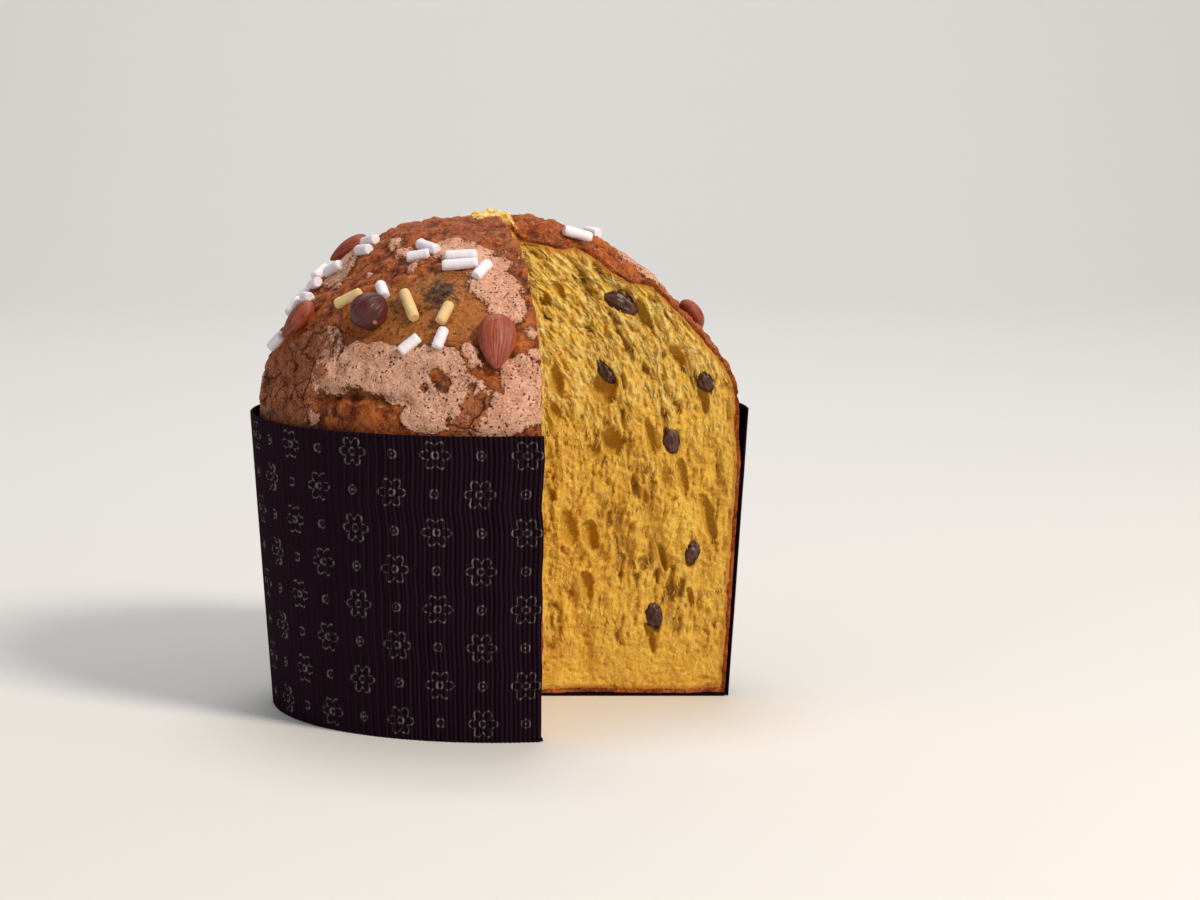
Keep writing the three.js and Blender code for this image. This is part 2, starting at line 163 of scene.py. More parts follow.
# Plates of baked almond glaze: azimuth, polar angle and radius of round patches that run together
SEEN_GLAZE = [
    (-126, 70, 8), (-119, 71, 10), (-110, 73, 11.5), (-102, 71.5, 9),
    (-105, 84, 9.5), (-97, 81, 11), (-90, 85, 11), (-83, 73, 8), (-81, 80, 8),
    (-112, 29, 7), (-102, 31, 9), (-94, 37, 8.5), (-89, 45, 9), (-86, 52, 6.5),
    (-137, 68, 9), (-131, 75, 7), (-140, 78, 8.5), (-137, 88, 5), (-152, 82, 6), (-166, 80, 6),
]
# Loose chips of glaze, and places where a plate has broken away
GLAZE_CHIPS = [
    (-95.8, 66.5, 3.2), (-94.3, 69.5, 2.8), (-85.5, 28.5, 1.8), (-80, 61, 2.4), (-79.6, 66, 2.6),
    (-121, 38.5, 2.8), (-143, 30, 3.2), (-131, 33, 2.6), (-150, 47, 2.4), (-137, 43, 2.2),
]
GLAZE_GAPS = [
    (-103.5, 73.2, 1.7), (-101.5, 75.6, 2.2), (-106, 77.2, 1.5),
    (-92.5, 79.5, 3.6), (-94.5, 76.5, 2.2), (-99, 39.5, 2.0),
]
GLAZE_RAISE = 1.0
HIDDEN_PLATES = 8
HIDDEN_FROM = 8
HIDDEN_TO = 186

# Random hills as height, size and seed: of the crust, along the plates' edges and along the folds
CRUST_HILLS = [(1.5, 30, 1), (1.0, 13, 2), (0.4, 6, 3)]
PLATE_HILLS = [(1.6, 7, 11), (1.0, 3, 12)]
FOLD_HILLS = [(0.7, 5, 19), (0.4, 2.3, 20)]
PLATE_EDGE = (-0.6, 0.9)


def glaze_patches():
    patches = SEEN_GLAZE + GLAZE_CHIPS
    for n in range(HIDDEN_PLATES):
        azimuth = HIDDEN_FROM + (HIDDEN_TO - HIDDEN_FROM) * (n + 0.5) / HIDDEN_PLATES
        polar = 26 + 54 * scramble(n, 1, 0, 5)
        for m in range(4):
            patches.append((azimuth, polar, 6.5 + 4.5 * scramble(n, m, 2, 5)))
            azimuth += (scramble(n, m, 3, 5) - 0.35) * 16
            polar = min(84, max(20, polar + (scramble(n, m, 4, 5) - 0.5) * 18))
    return [(on_dome(azimuth, polar), radius) for azimuth, polar, radius in patches]


GLAZE = glaze_patches()


def glaze_depth(p):
    """How far inside a glaze plate a point of the dome is, in mm, below 0 outside"""
    depth = np.full(p.shape[:-1], -99.0)
    for at, radius in GLAZE:
        depth = np.maximum(depth, radius - np.linalg.norm(p - at, axis=-1))
    for azimuth, polar, radius in GLAZE_GAPS:
        depth = np.minimum(depth, np.linalg.norm(p - on_dome(azimuth, polar), axis=-1) - radius)
    return depth + rolling(p, PLATE_HILLS)


def distance_to_segment(p, a, b):
    along = b - a
    share = np.clip(((p - a) @ along) / (along @ along), 0, 1)
    return np.linalg.norm(p - a - share[..., None] * along, axis=-1)


def fold_depth(p, folds):
    """Depth of some of the folds and splits"""
    depth = 0
    wander = rolling(p, FOLD_HILLS)
    for a, b, c, d, width, deep in folds:
        away = distance_to_segment(p, on_dome(a, b), on_dome(c, d)) + wander
        depth = depth + deep * np.exp(-(away / width) ** 2)
    return depth


def swell(p, azimuth, polar, reach):
    """A soft round swell of the dome, 1 at its middle"""
    return np.exp(-(np.linalg.norm(p - on_dome(azimuth, polar), axis=-1) / reach) ** 2)


def crust_relief(p, plate_edge=PLATE_EDGE, ragged=0):
    """Height of the real crust above the smooth dome"""
    height = rolling(p, CRUST_HILLS)
    for *place, rise in SWELLS:
        height = height + rise * swell(p, *place)
    return height - fold_depth(p, FOLDS) + GLAZE_RAISE * smooth(*plate_edge, glaze_depth(p) + ragged)


def crust_point(azimuth, polar, relief=None):
    """The crust's surface; its relief dies away where the loaf drops into the mould"""
    p = dome_point(azimuth, polar)
    height = crust_relief(p) if relief is None else relief
    height = height * smooth(90, 82, np.degrees(polar))
    return p + dome_normal(azimuth, polar) * height[..., None]


def case_radius(z):
    return CASE_BASE_RADIUS + (CASE_RIM_RADIUS - CASE_BASE_RADIUS) * z / CASE_HEIGHT


def side_radius(z):
    """The loaf fills the mould and draws in a little towards the rim"""
    inside = case_radius(z) - PAPER - FIT_GAP
    return inside - np.maximum(0, 0.15 * (z - SIDE_FITS_UP_TO))


# The two cuts: azimuth, seed, and the side on which the missing wedge was
CUTS = {
    "back": (BACK_CUT, 21, -1),
    "front": (FRONT_CUT, 22, 1),
}


def cut_frame(cut):
    """A cut face's directions: out from the axis, and into the missing wedge"""
    azimuth, _, side = CUTS[cut]
    out = np.array([math.cos(azimuth), math.sin(azimuth), 0])
    into = np.array([-math.sin(azimuth), math.cos(azimuth), 0]) * side
    return out, into


def on_cut(cut, out, z, depth):
    """Places given by distance from the axis, height, and depth towards the missing wedge"""
    along, into = cut_frame(cut)
    out, z, depth = np.broadcast_arrays(*(np.asarray(v, dtype=float) for v in (out, z, depth)))
    return out[..., None] * along + depth[..., None] * into + z[..., None] * np.array([0, 0, 1])


def torn_relief(out, z, seed):
    """The broad relief of a cut face, as in the solid"""
    broad = 1.8 * hills(out / 16, z / 34, 0.5, seed)
    strands = 1.0 * hills((out + 0.25 * z) / 7, z / 22, 3.5, seed)
    return broad + strands - 0.8


def face_outline(cut):
    """The edge of a cut face as [out, height], from the crown down the crust to the loaf's bottom"""
    polar = np.linspace(0, math.pi / 2, 120)
    azimuth = np.full(polar.shape, CUTS[cut][0])
    crust = crust_point(azimuth, polar)
    dome = np.stack([np.hypot(crust[:, 0], crust[:, 1]), crust[:, 2]], axis=1)
    heights = np.linspace(SHOULDER_HEIGHT - 2, BREAD_BOTTOM, 60)
    side = np.stack([side_radius(heights), heights], axis=1)
    return np.concatenate([dome, side, [[0, BREAD_BOTTOM]]])


def distance_inside(outline, out, z):
    """How far inside the outline of a cut face a point is, in mm"""
    points = np.stack([np.abs(out), z], axis=-1)
    best = np.full(points.shape[:-1], 999.0)
    for a, b in zip(outline[:-1], outline[1:]):
        best = np.minimum(best, distance_to_segment(points, a, b))
    edge = np.interp(z, outline[::-1, 1][1:], outline[::-1, 0][1:])
    return np.where((np.abs(out) < edge) & (z > BREAD_BOTTOM), best, -best)


# Building meshes

def grid_faces(rows, columns):
    """Four-sided faces of a grid of points, row after row"""
    n = np.arange(rows * columns).reshape(rows, columns)
    corners = (n[:-1, :-1], n[:-1, 1:], n[1:, 1:], n[1:, :-1])
    return np.stack([corner.ravel() for corner in corners], axis=1)


def grid_border(rows, columns):
    """The points round the edge of a grid, in order"""
    n = np.arange(rows * columns).reshape(rows, columns)
    return np.concatenate([n[0, :-1], n[:-1, -1], n[-1, :0:-1], n[:0:-1, 0]])


def ring_faces(above, below):
    """Faces between two rings of points"""
    return np.stack([above, below, np.roll(below, -1), np.roll(above, -1)], axis=1).tolist()


def fan_faces(ring, middle):
    """Faces between a ring of points and one in its middle"""
    return np.stack([ring, np.full(len(ring), middle), np.roll(ring, -1)], axis=1).tolist()


def make_mesh(name, points, faces):
    """A mesh in metres out of points in mm, its faces turned outwards as a whole"""
    faces = [list(map(int, face)) for face in faces]
    mesh = bpy.data.meshes.new(name)
    mesh.from_pydata((np.asarray(points) * MM).tolist(), [], faces)
    mesh.update()
    if signed_volume(mesh) < 0:
        mesh.flip_normals()
    return mesh


def signed_volume(mesh):
    mesh.calc_loop_triangles()
    count = len(mesh.loop_triangles)
    corners = np.empty(count * 3, dtype=np.int32)
    mesh.loop_triangles.foreach_get("vertices", corners)
    places = mesh_points(mesh)[corners.reshape(-1, 3)]
    return float(np.einsum("ij,ij->", places[:, 0], np.cross(places[:, 1], places[:, 2])))


def mesh_points(mesh):
    places = np.empty(len(mesh.vertices) * 3)
    mesh.vertices.foreach_get("co", places)
    return places.reshape(-1, 3)


def give(mesh, name, values):
    """Stores a number or a direction for every point of a mesh, for materials and trees to read"""
    values = np.asarray(values, dtype=np.float32)
    kind, key = ("FLOAT_VECTOR", "vector") if values.ndim == 2 else ("FLOAT", "value")
    attribute = mesh.attributes.get(name) or mesh.attributes.new(name, kind, "POINT")
    attribute.data.foreach_set(key, values.ravel())


def read(mesh, name):
    values = np.empty(len(mesh.vertices), dtype=np.float32)
    mesh.attributes[name].data.foreach_get("value", values)
    return values


def show(name, data):
    """A new object in the scene"""
    made = bpy.data.objects.new(name, data)
    bpy.context.scene.collection.objects.link(made)
    return made


def applied(carrier):
    """The plain mesh that an object's modifiers make; the object goes"""
    evaluated = carrier.evaluated_get(bpy.context.evaluated_depsgraph_get())
    made = bpy.data.meshes.new_from_object(evaluated)
    bpy.data.objects.remove(carrier)
    return made


def finish_piece(name, mesh, materials, nodes, sharp=None):
    """Shows a mesh as a piece that rides on the loaf and stands for the nodes"""
    mesh.name = name
    mesh.materials.clear()
    for material in materials:
        mesh.materials.append(material)
    mesh.shade_smooth()
    if sharp is not None:
        mesh.set_sharp_from_angle(angle=math.radians(sharp))
    piece = show(name, mesh)
    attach(piece, "root")
    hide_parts(*nodes)


def closed_sheet(front, back):
    """A closed body out of a grid of front points, with a flat fan as its back"""
    border = grid_border(*front.shape[:2])
    points = front.reshape(-1, 3)
    rim = back.reshape(-1, 3)[border]
    ring = len(points) + np.arange(len(rim))
    faces = grid_faces(*front.shape[:2]).tolist() + ring_faces(border, ring) + fan_faces(ring, ring[-1] + 1)
    return np.concatenate([points, rim, rim.mean(axis=0, keepdims=True)]), faces


# Nodes

# Short names for kinds of node with their settings. Any other name in capitals is a sum.
KINDS = {
    "BEND": ("GeometryNodeSetPosition", {}),
    "JOIN": ("ShaderNodeCombineXYZ", {}),
    "MIX": ("ShaderNodeMix", {"data_type": "RGBA"}),
    "NOISE": ("ShaderNodeTexNoise", {}),
    "RANDOM": ("FunctionNodeRandomValue", {}),
    "RANGE": ("ShaderNodeMapRange", {}),
    "SMOOTH": ("ShaderNodeMapRange", {"interpolation_type": "SMOOTHSTEP"}),
    "SPLIT": ("ShaderNodeSeparateXYZ", {}),
    "STORED": ("GeometryNodeInputNamedAttribute", {}),
    "VECTOR": ("ShaderNodeVectorMath", {}),
}


def add(tree, known, kind, *inputs, out=0, **settings):
    """Adds a node with its settings and links. Inputs come in order, or by name in one dictionary.
    Each is a value, another node's output, or the name of an output that is known."""
    usual = ("ShaderNodeMath", {"operation": kind}) if kind.isupper() else (kind, {})
    kind, fixed = KINDS.get(kind, usual)
    made = tree.nodes.new(kind)
    for key, value in (fixed | settings).items():
        setattr(made, key, value)
    given = inputs[0] if inputs and isinstance(inputs[0], dict) else dict(enumerate(inputs))
    for key, value in given.items():
        value = known.get(value, value) if isinstance(value, str) else value
        if isinstance(value, bpy.types.NodeSocket):
            tree.links.new(value, made.inputs[key])
        else:
            made.inputs[key].default_value = value
    return made.outputs[out] if made.outputs else None


def run_tree(name, mesh, build, values, *more):
    """Runs a geometry tree over a mesh and returns the plain mesh that it makes. The tree has a named
    input for every value, and puts on the material among them."""
    tree = bpy.data.node_groups.new(name, "GeometryNodeTree")
    tree.interface.new_socket(name="Geometry", in_out="OUTPUT", socket_type="NodeSocketGeometry")
    tree.interface.new_socket(name="Geometry", in_out="INPUT", socket_type="NodeSocketGeometry")
    for key, value in values.items():
        kind = "NodeSocket" + type(value).__name__.capitalize()
        tree.interface.new_socket(name=key, in_out="INPUT", socket_type=kind)
    known = {}
    node = partial(add, tree, known)
    known.update(node("NodeGroupInput").node.outputs.items())
    shape = build(node)
    node("NodeGroupOutput", node("GeometryNodeSetMaterial", {"Geometry": shape, "Material": "Material"}))

    carrier = show(name, mesh)
    modifier = carrier.modifiers.new(name, "NODES")
    modifier.node_group = tree
    for item in tree.interface.items_tree:
        if item.in_out == "INPUT" and item.name in values:
            modifier[item.identifier] = values[item.name]
    for kind, settings in more:
        extra = carrier.modifiers.new(kind.lower(), kind)
        for key, value in settings.items():
            setattr(extra, key, value)
    return applied(carrier)


# Materials

def paint(hex_colour):
    """An sRGB hex colour as linear red, green, blue and alpha"""
    parts = [int(hex_colour[n:n + 2], 16) / 255 for n in (1, 3, 5)]
    return [c / 12.92 if c <= 0.04045 else ((c + 0.055) / 1.055) ** 2.4 for c in parts] + [1.0]


def per_mm(size):
    """Scale for a noise or cell pattern on Object coordinates whose features are size mm wide"""
    return 1 / (size * MM)


def start_material(name, numbers=(), patterns=()):
    """A new material and how its nodes are added. They know by name the numbers stored in the mesh, and
    random patterns, given as name, size in mm, detail and roughness."""
    material = bpy.data.materials.new(name)
    material.use_nodes = True
    material.node_tree.nodes.clear()
    known = {}
    node = partial(add, material.node_tree, known)
    if patterns:
        known["place"] = node("ShaderNodeTexCoord", out="Object")
    for number in numbers:
        known[number] = node("ShaderNodeAttribute", out="Fac", attribute_name=number)
    for pattern, size, detail, rough in patterns:
        inputs = {"Vector": "place", "Scale": per_mm(size), "Detail": detail, "Roughness": rough}
        known[pattern] = node("NOISE", inputs, out="Fac")
    return material, node


def end_material(material, node, shader):
    node("ShaderNodeOutputMaterial", node("ShaderNodeBsdfPrincipled", shader))
    return material


def layers(node, colour, *rows):
    """Lays tints over a colour. A row is a number or its name, the two bounds between which the tint comes
    in, how much of it at most, and the tint. Without bounds the tint grows evenly with the number."""
    colour = paint(colour) if isinstance(colour, str) else colour
    for number, *bounds, most, tint in rows:
        amount = node("SMOOTH", number, *bounds, 0.0, most) if bounds else node("MULTIPLY", number, most)
        tint = paint(tint) if isinstance(tint, str) else tint
        colour = node("MIX", {0: amount, 6: colour, 7: tint}, out=2)
    return colour


CRACK_SPACING = 13.0
CRACK_WANDER = 8.0
CRUST_NUMBERS = ("glaze", "thin", "crease", "golden", "torn", "lump", "dent")
CRUST_PATTERNS = (
    ("grain", 0.75, 4.0, 0.65), ("fine", 1.7, 5.0, 0.7), ("medium", 4.5, 4.0, 0.6), ("broad", 15, 3.0, 0.6),
    ("dark", 22, 4.0, 0.6), ("smear", 5.5, 5.0, 0.72), ("uneven", 9, 4.0, 0.6), ("fruit", 2.2, 4.0, 0.7),
    ("broken", 6, 3.0, 0.6), ("ragged", 1.3, 5.0, 0.75), ("speckled", 4.5, 3.0, 0.6),
    ("dotted", 3.0, 3.0, 0.6), ("cloudy", 8, 3.0, 0.6), ("patchy", 2.8, 4.0, 0.7), ("ripped", 1.0, 4.0, 0.7),
)


def baked_crust():
    """Egg-rich dough baked brown under an almond glaze: mottled and satin, with matte pale plates on it"""
    material, node = start_material("baked crust with almond glaze", CRUST_NUMBERS, CRUST_PATTERNS)

    smear = node("MULTIPLY", node("SMOOTH", "smear", 0.53, 0.6), node("SMOOTH", "golden", 0.5, 0.2))
    uneven = node("SMOOTH", "uneven", 0.4, 0.62, 0.25, 1.0)
    # Painted shade darkens the pits and the wrinkles' troughs, and painted light turns the wrinkles' crests a
    # lighter orange
    dent = node("MULTIPLY", node("SMOOTH", "dent", 0.0, 0.9, 0.0, 0.75), uneven)
    raisin = node("MULTIPLY_ADD", node("SMOOTH", "fruit", 0.3, 0.7, -1.0, 1.0), 0.5, "lump")
    # Painted shadow: the folds and splits darken with their depth, broken up at random
    broken = node("SMOOTH", "broken", 0.35, 0.6, 0.65, 1.0)
    crease = node("MULTIPLY", node("SMOOTH", "crease", 0.3, 1.5, 0.0, 0.85), broken)
    brown = layers(
        node, "#923E19", ("broad", 0.38, 0.62, 1.0, "#B05822"), ("medium", 0.5, 0.66, 0.8, "#642712"),
        ("dark", 0.48, 0.6, 0.65, "#74331A"), ("golden", 0.85, "#AC6C34"), (smear, 0.75, "#B86434"),
        ("fine", 0.53, 0.66, 0.8, "#C47C40"), ("fine", 0.47, 0.36, 0.9, "#4C1D0F"),
        ("grain", 0.52, 0.7, 0.5, "#D3955B"), ("grain", 0.44, 0.3, 0.6, "#4A1C0E"),
        (dent, 1.0, "#481C0D"), ("dent", -0.1, -0.7, 0.5, "#C26C32"),
        (raisin, 0.2, 0.75, 0.9, "#543B2C"), (raisin, 0.85, 1.15, 0.9, "#221B22"), (crease, 1.0, "#3E1A0C"),
    )

    edge = node("ADD", "glaze", node("SMOOTH", "ragged", 0.3, 0.7, -1.0, 1.0))
    glazed = node("SMOOTH", edge, -0.05, 0.15)
    dots = 0.0
    for spacing, outer, inner, mask, low, high, strength in (
        (1.8, 0.27, 0.16, "speckled", 0.42, 0.52, 1.0), (1.0, 0.32, 0.18, "dotted", 0.47, 0.56, 0.8),
    ):
        away = node("ShaderNodeTexVoronoi", {"Vector": "place", "Scale": per_mm(spacing)}, out="Distance")
        away = node("ADD", away, node("SMOOTH", "grain", 0.3, 0.7, -0.14, 0.14))
        pits = node("MULTIPLY", node("SMOOTH", away, outer, inner), node("SMOOTH", mask, low, high))
        dots = node("MAXIMUM", dots, node("MULTIPLY", pits, strength))
    pale = layers(
        node, "#E0AB8E", ("cloudy", 0.38, 0.66, 1.0, "#CC9074"), ("patchy", 0.5, 0.64, 0.6, "#BE8062"),
        ("grain", 0.5, 0.66, 0.7, "#F6D0B6"), ("grain", 0.47, 0.32, 0.45, "#A56A4F"),
    )
    tan = layers(
        node, "#8C4C30", ("medium", 0.35, 0.65, 1.0, "#AA6542"), ("grain", 0.5, 0.68, 0.7, "#C88A62"),
        ("grain", 0.46, 0.32, 0.7, "#64341F"),
    )
    worn = node("MULTIPLY_ADD", node("SMOOTH", "medium", 0.35, 0.65, -1.0, 1.0), 0.35, "thin")
    film = node("SMOOTH", worn, 0.35, 0.65)

    wander = node("NOISE", {"Vector": "place", "Scale": per_mm(7), "Detail": 3.0}, out="Color")
    wander = node("VECTOR", wander, (CRACK_WANDER * MM,) * 3, "place", operation="MULTIPLY_ADD")
    cells = {"Vector": wander, "Scale": per_mm(CRACK_SPACING)}
    beside = node("ShaderNodeTexVoronoi", cells, out="Distance", feature="DISTANCE_TO_EDGE")
    cracked = node("MAXIMUM", film, node("MULTIPLY", glazed, 0.12))
    cracks = node("MULTIPLY", node("SMOOTH", beside, 0.045, 0.01), cracked)
    # Painted shadow: a dark band on the brown just outside each raised glaze plate's edge
    plate_edge_shadow = node("MULTIPLY", node("SMOOTH", edge, -1.3, -0.1), node("SMOOTH", edge, 0.1, -0.05))
    brown = layers(
        node, brown, (film, 0.9, tan), (cracks, 0.8, "#461C0E"),
        (node("MULTIPLY", dots, film), 0.8, "#4E2214"), (plate_edge_shadow, 0.55, "#3E1A0C"),
    )
    glaze = layers(node, pale, (film, 1.0, tan), (cracks, 0.8, "#542412"), (dots, 0.95, "#54251A"))

    rip = node("ADD", "torn", node("SMOOTH", "ripped", 0.3, 0.7, -0.8, 0.8))
    torn = node("SMOOTH", rip, -0.1, 0.25)
    crumb = layers(node, "#DDA436", ("fine", 0.4, 0.6, 1.0, "#FBE7A6"))
    colour = layers(node, brown, (glazed, 1.0, glaze), (torn, 1.0, crumb))

    bumps = node("MULTIPLY", "grain", 0.45)
    pits = node("MULTIPLY", dots, glazed)
    for number, height in (("fine", 0.75), ("medium", 0.8), (glazed, 0.75), (pits, -0.9), (cracks, -1.2)):
        bumps = node("MULTIPLY_ADD", number, height, bumps)
    relief = node("ShaderNodeBump", {"Strength": 0.85, "Distance": 0.65 * MM, "Height": bumps})
    matte = node("SMOOTH", node("MAXIMUM", glazed, torn), 0.0, 1.0, 0.52, 0.85)
    shader = {"Base Color": colour, "Roughness": matte, "Normal": relief, "Specular IOR Level": 0.12}
    return end_material(material, node, shader)


CRUMB_PATTERNS = (
    ("grain", 0.7, 5.0, 0.7), ("web", 1.6, 4.0, 0.7), ("broad", 12, 3.0, 0.6), ("uneven", 6, 3.0, 0.6),
    ("ragged", 2.4, 3.0, 0.6),
)


def yellow_crumb():
    """Butter and egg-yolk crumb, torn and airy: matte and slightly translucent. Its strands are pale, partly
    their own colour and partly a painted highlight; its pores darken with depth as painted shade.
    """
    material, node = start_material("yellow crumb", ("pore", "crest", "hollow", "rim"), CRUMB_PATTERNS)
    # Painted shade: the deeper a place lies in a pore, the more of this darker ochre it gets
    deep = layers(node, "#97650A", ("uneven", 0.35, 0.65, 1.0, "#B47F14"))
    depth = node("ADD", "rim", node("SMOOTH", "ragged", 0.3, 0.7, -0.3, 0.3))
    # The strands' pale crests are partly their own colour and partly a painted highlight
    colour = layers(
        node, "#DBA32F", ("broad", 0.36, 0.64, 1.0, "#E9B940"), ("web", 0.5, 0.68, 0.6, "#F3D16A"),
        ("web", 0.46, 0.32, 0.6, "#B47D14"), ("pore", 0.15, 0.85, 0.92, deep), ("hollow", 0.8, "#C6931E"),
        ("crest", 0.9, "#F9E698"), ("grain", 0.52, 0.68, 0.5, "#FCEDB0"), (depth, 3.8, 1.6, 0.8, "#C07C2C"),
        (depth, 1.6, 1.1, 1.0, "#7E3C1A"),
    )
    even = node("SMOOTH", "hollow", 0.2, 0.8, 0.9, 0.25)
    height = node("MULTIPLY_ADD", "grain", 0.8, "web")
    relief = node("ShaderNodeBump", {"Strength": even, "Distance": 0.55 * MM, "Height": height})
    return end_material(material, node, {
        "Base Color": colour, "Roughness": 0.8, "Normal": relief, "IOR": 1.35,
        "Subsurface Weight": 0.3, "Subsurface Radius": (0.004, 0.0024, 0.0008), "Subsurface Scale": 0.4,
    })


SCAR_TINT = "#C58C62"


def nut_skin(name, base, light, dark, roughness):
    """Thin skin over a nut or a dried fruit: satin, lighter on its ridges and dark in its grooves, partly its
    own streaks and partly painted highlight and painted shade
    """
    patterns = (("mottle", 2.2, 4.0, 0.5), ("fine", 0.5, 3.0, 0.5))
    material, node = start_material(name, ("vein",), patterns)
    # Lighter on the ridges and darker in the grooves: partly the skin's own streaks, partly painted highlight
    # and painted shade
    colour = layers(
        node, base, ("vein", 0.55, 1.0, 0.6, light), ("vein", 0.42, 0.0, 0.6, dark),
        ("mottle", 0.5, 0.72, 0.6, dark), ("fine", 0.55, 0.75, 0.4, light),
        ("vein", 1.1, 1.5, 0.9, SCAR_TINT),
    )
    height = node("ADD", "vein", "fine")
    relief = node("ShaderNodeBump", {"Strength": 0.35, "Distance": 0.25 * MM, "Height": height})
    shader = {"Base Color": colour, "Roughness": roughness, "Normal": relief, "IOR": 1.45}
    return end_material(material, node, shader)


def sugar_finish():
    """Pressed sugar: chalky, white or cream, with light spreading a little inside"""
    material, node = start_material("pearl sugar", ("cream",), (("grain", 0.4, 3.0, 0.5),))
    white = layers(node, "#ECE3EA", ("grain", 1.0, "#FBF5FA"))
    yellow = layers(node, "#DCB878", ("grain", 1.0, "#ECD09A"))
    relief = node("ShaderNodeBump", {"Strength": 0.4, "Distance": 0.15 * MM, "Height": "grain"})
    colour = layers(node, white, ("cream", 1.0, yellow))
    return end_material(material, node, {
        "Base Color": colour, "Roughness": 0.6, "Normal": relief, "IOR": 1.5,
        "Subsurface Weight": 0.3, "Subsurface Radius": (0.002, 0.002, 0.002), "Subsurface Scale": 0.5,
    })


# The print's repeat, in mm along the sheet and up it, and the sizes of its flower and rings
REPEAT_WIDE = 15.5
REPEAT_TALL = 27.0
PETALS = 6
FLOWER_RADIUS = 5.2
EYE_RADIUS = 1.2
RING_RADIUS = 1.5


def flute_wave(node, phase):
    """The flutes' rise and fall, every second one a little higher"""
    return node("MULTIPLY_ADD", node("COSINE", node("MULTIPLY", phase, 0.5)), 0.3, node("SINE", phase))


def fluted_paper():
    """Dark brown-violet baking paper, pressed into flutes: matte, with a pale ink that painted shade dims in
    the troughs, and a painted highlight on the flute crests
    """
    patterns = (("worn", 1.4, 3.0, 0.5), ("streak", 14, 3.0, 0.5))
    material, node = start_material("fluted baking paper", (), patterns)
    sheet = node("SPLIT", node("ShaderNodeAttribute", out="Vector", attribute_name="sheet")).node
    along, up = (node("MULTIPLY", sheet.outputs[axis], 1 / MM) for axis in "XY")
    column = node("FLOOR", node("DIVIDE", along, REPEAT_WIDE))
    x = node("SUBTRACT", node("SUBTRACT", along, node("MULTIPLY", column, REPEAT_WIDE)), REPEAT_WIDE / 2)
    drop = node("MULTIPLY", node("FLOORED_MODULO", column, 2.0), REPEAT_TALL / 2)
    raised = node("FLOORED_MODULO", node("ADD", up, drop), REPEAT_TALL)
    y, y_ring = (node("SUBTRACT", raised, REPEAT_TALL * share) for share in (1 / 4, 3 / 4))
    beside = node("MULTIPLY", x, x)
    flower, ring = (node("SQRT", node("MULTIPLY_ADD", rise, rise, beside)) for rise in (y, y_ring))
    lobe = node("ABSOLUTE", node("COSINE", node("MULTIPLY", node("ARCTAN2", y, x), PETALS / 2)))
    petals = node("MULTIPLY_ADD", lobe, FLOWER_RADIUS * 0.45, FLOWER_RADIUS * 0.55)
    ink = 0.0
    for distance, line, half_width in (
        (flower, petals, 0.3), (flower, EYE_RADIUS, 0.3), (ring, RING_RADIUS, 0.25), (ring, 0.0, 0.45),
    ):
        away = node("ABSOLUTE", node("SUBTRACT", distance, line))
        ink = node("MAXIMUM", ink, node("RANGE", away, half_width + 0.12, half_width - 0.06))

    wave = flute_wave(node, node("MULTIPLY", along, 2 * math.pi / FLUTE_PITCH))
    # Painted highlight on the flute crests; the ink is dimmed in the troughs as painted shade
    crest = node("RANGE", wave, -0.7, 0.7, 0.15, 1.0)
    ink = node("MULTIPLY", node("MULTIPLY", ink, crest), node("RANGE", "worn", 0.3, 0.6, 0.35, 1.0))
    colour = layers(
        node, "#08030C", ("streak", 1.0, "#120812"), (crest, 0.35, "#3E2130"), (ink, 0.5, "#A29C94"),
    )
    shader = {"Base Color": colour, "Roughness": 0.7, "IOR": 1.3, "Specular IOR Level": 0.12}
    return end_material(material, node, shader)


def plain_paper():
    """The same dark paper where it is flat and bare"""
    material, node = start_material("flat baking paper")
    shader = {"Base Color": paint("#140A14"), "Roughness": 0.75, "IOR": 1.3, "Specular IOR Level": 0.12}
    return end_material(material, node, shader)


# The crust

# Where the crust is smooth and golden: azimuth, polar angle and reach
GOLDEN = [(-109, 59, 16), (-118, 54, 13), (-96, 55, 9), (-104, 47, 9), (150, 40, 16), (60, 50, 14)]
# Where the glaze is thin and browner
THIN = [
    (-93, 80, 6), (-143, 68, 13), (-152, 78, 15), (-140, 84, 7), (-160, 84, 12), (-97, 87, 5),
    (70, 40, 14), (160, 76, 15), (112, 72, 13), (-172, 62, 10),
]
# Raisins that swell and darken the crust from below
LUMPS = [(-106, 49, 6.5), (-102.3, 76.4, 2.0), (30, 48, 6), (135, 62, 6)]
LUMP_RISE = 0.8
# The crown tore open beside the notch
TORN_CROWN = np.array([-2.5, 1.5])
TORN_RADIUS = 8.0
TORN_RISE = 1.3
# Finer hills, as height, size and seed: wrinkles of the dough and lumps of the torn crown
WRINKLES = [(1.1, 3.8, 14), (0.6, 1.9, 15)]
TORN_LUMPS = [(1.2, 2.2, 18), (0.7, 1.1, 19)]
SHARP_PLATE_EDGE = (-0.15, 0.35)
PIT_DEPTH = 0.4
# Rings of points below the dome
SIDE_HEIGHTS = (98.0, float(SIDE_FITS_UP_TO), BREAD_BOTTOM)
# Numbers that the crust's material reads, where they aren't 0 below the dome
BELOW_DOME = {"glaze": -9, "torn": -9}


def spots(p, places):
    """Soft round spots on the dome, 1 at their middles"""
    return np.clip(sum(swell(p, *place) for place in places), 0, 1)


def disc_grid(count):
    """A square grid pressed into a disc, as azimuth and share of the radius"""
    line = np.linspace(-1, 1, count)
    a, b = np.meshgrid(line, line, indexing="ij")
    a = np.where((a == 0) & (b == 0), 1e-9, a)
    wide = np.abs(a) >= np.abs(b)
    radius = np.where(wide, a, b)
    ratio = np.where(wide, b, a) / radius
    angle = np.where(wide, ratio * math.pi / 4, math.pi / 2 - ratio * math.pi / 4)
    return np.arctan2(radius * np.sin(angle), radius * np.cos(angle)), np.abs(radius)


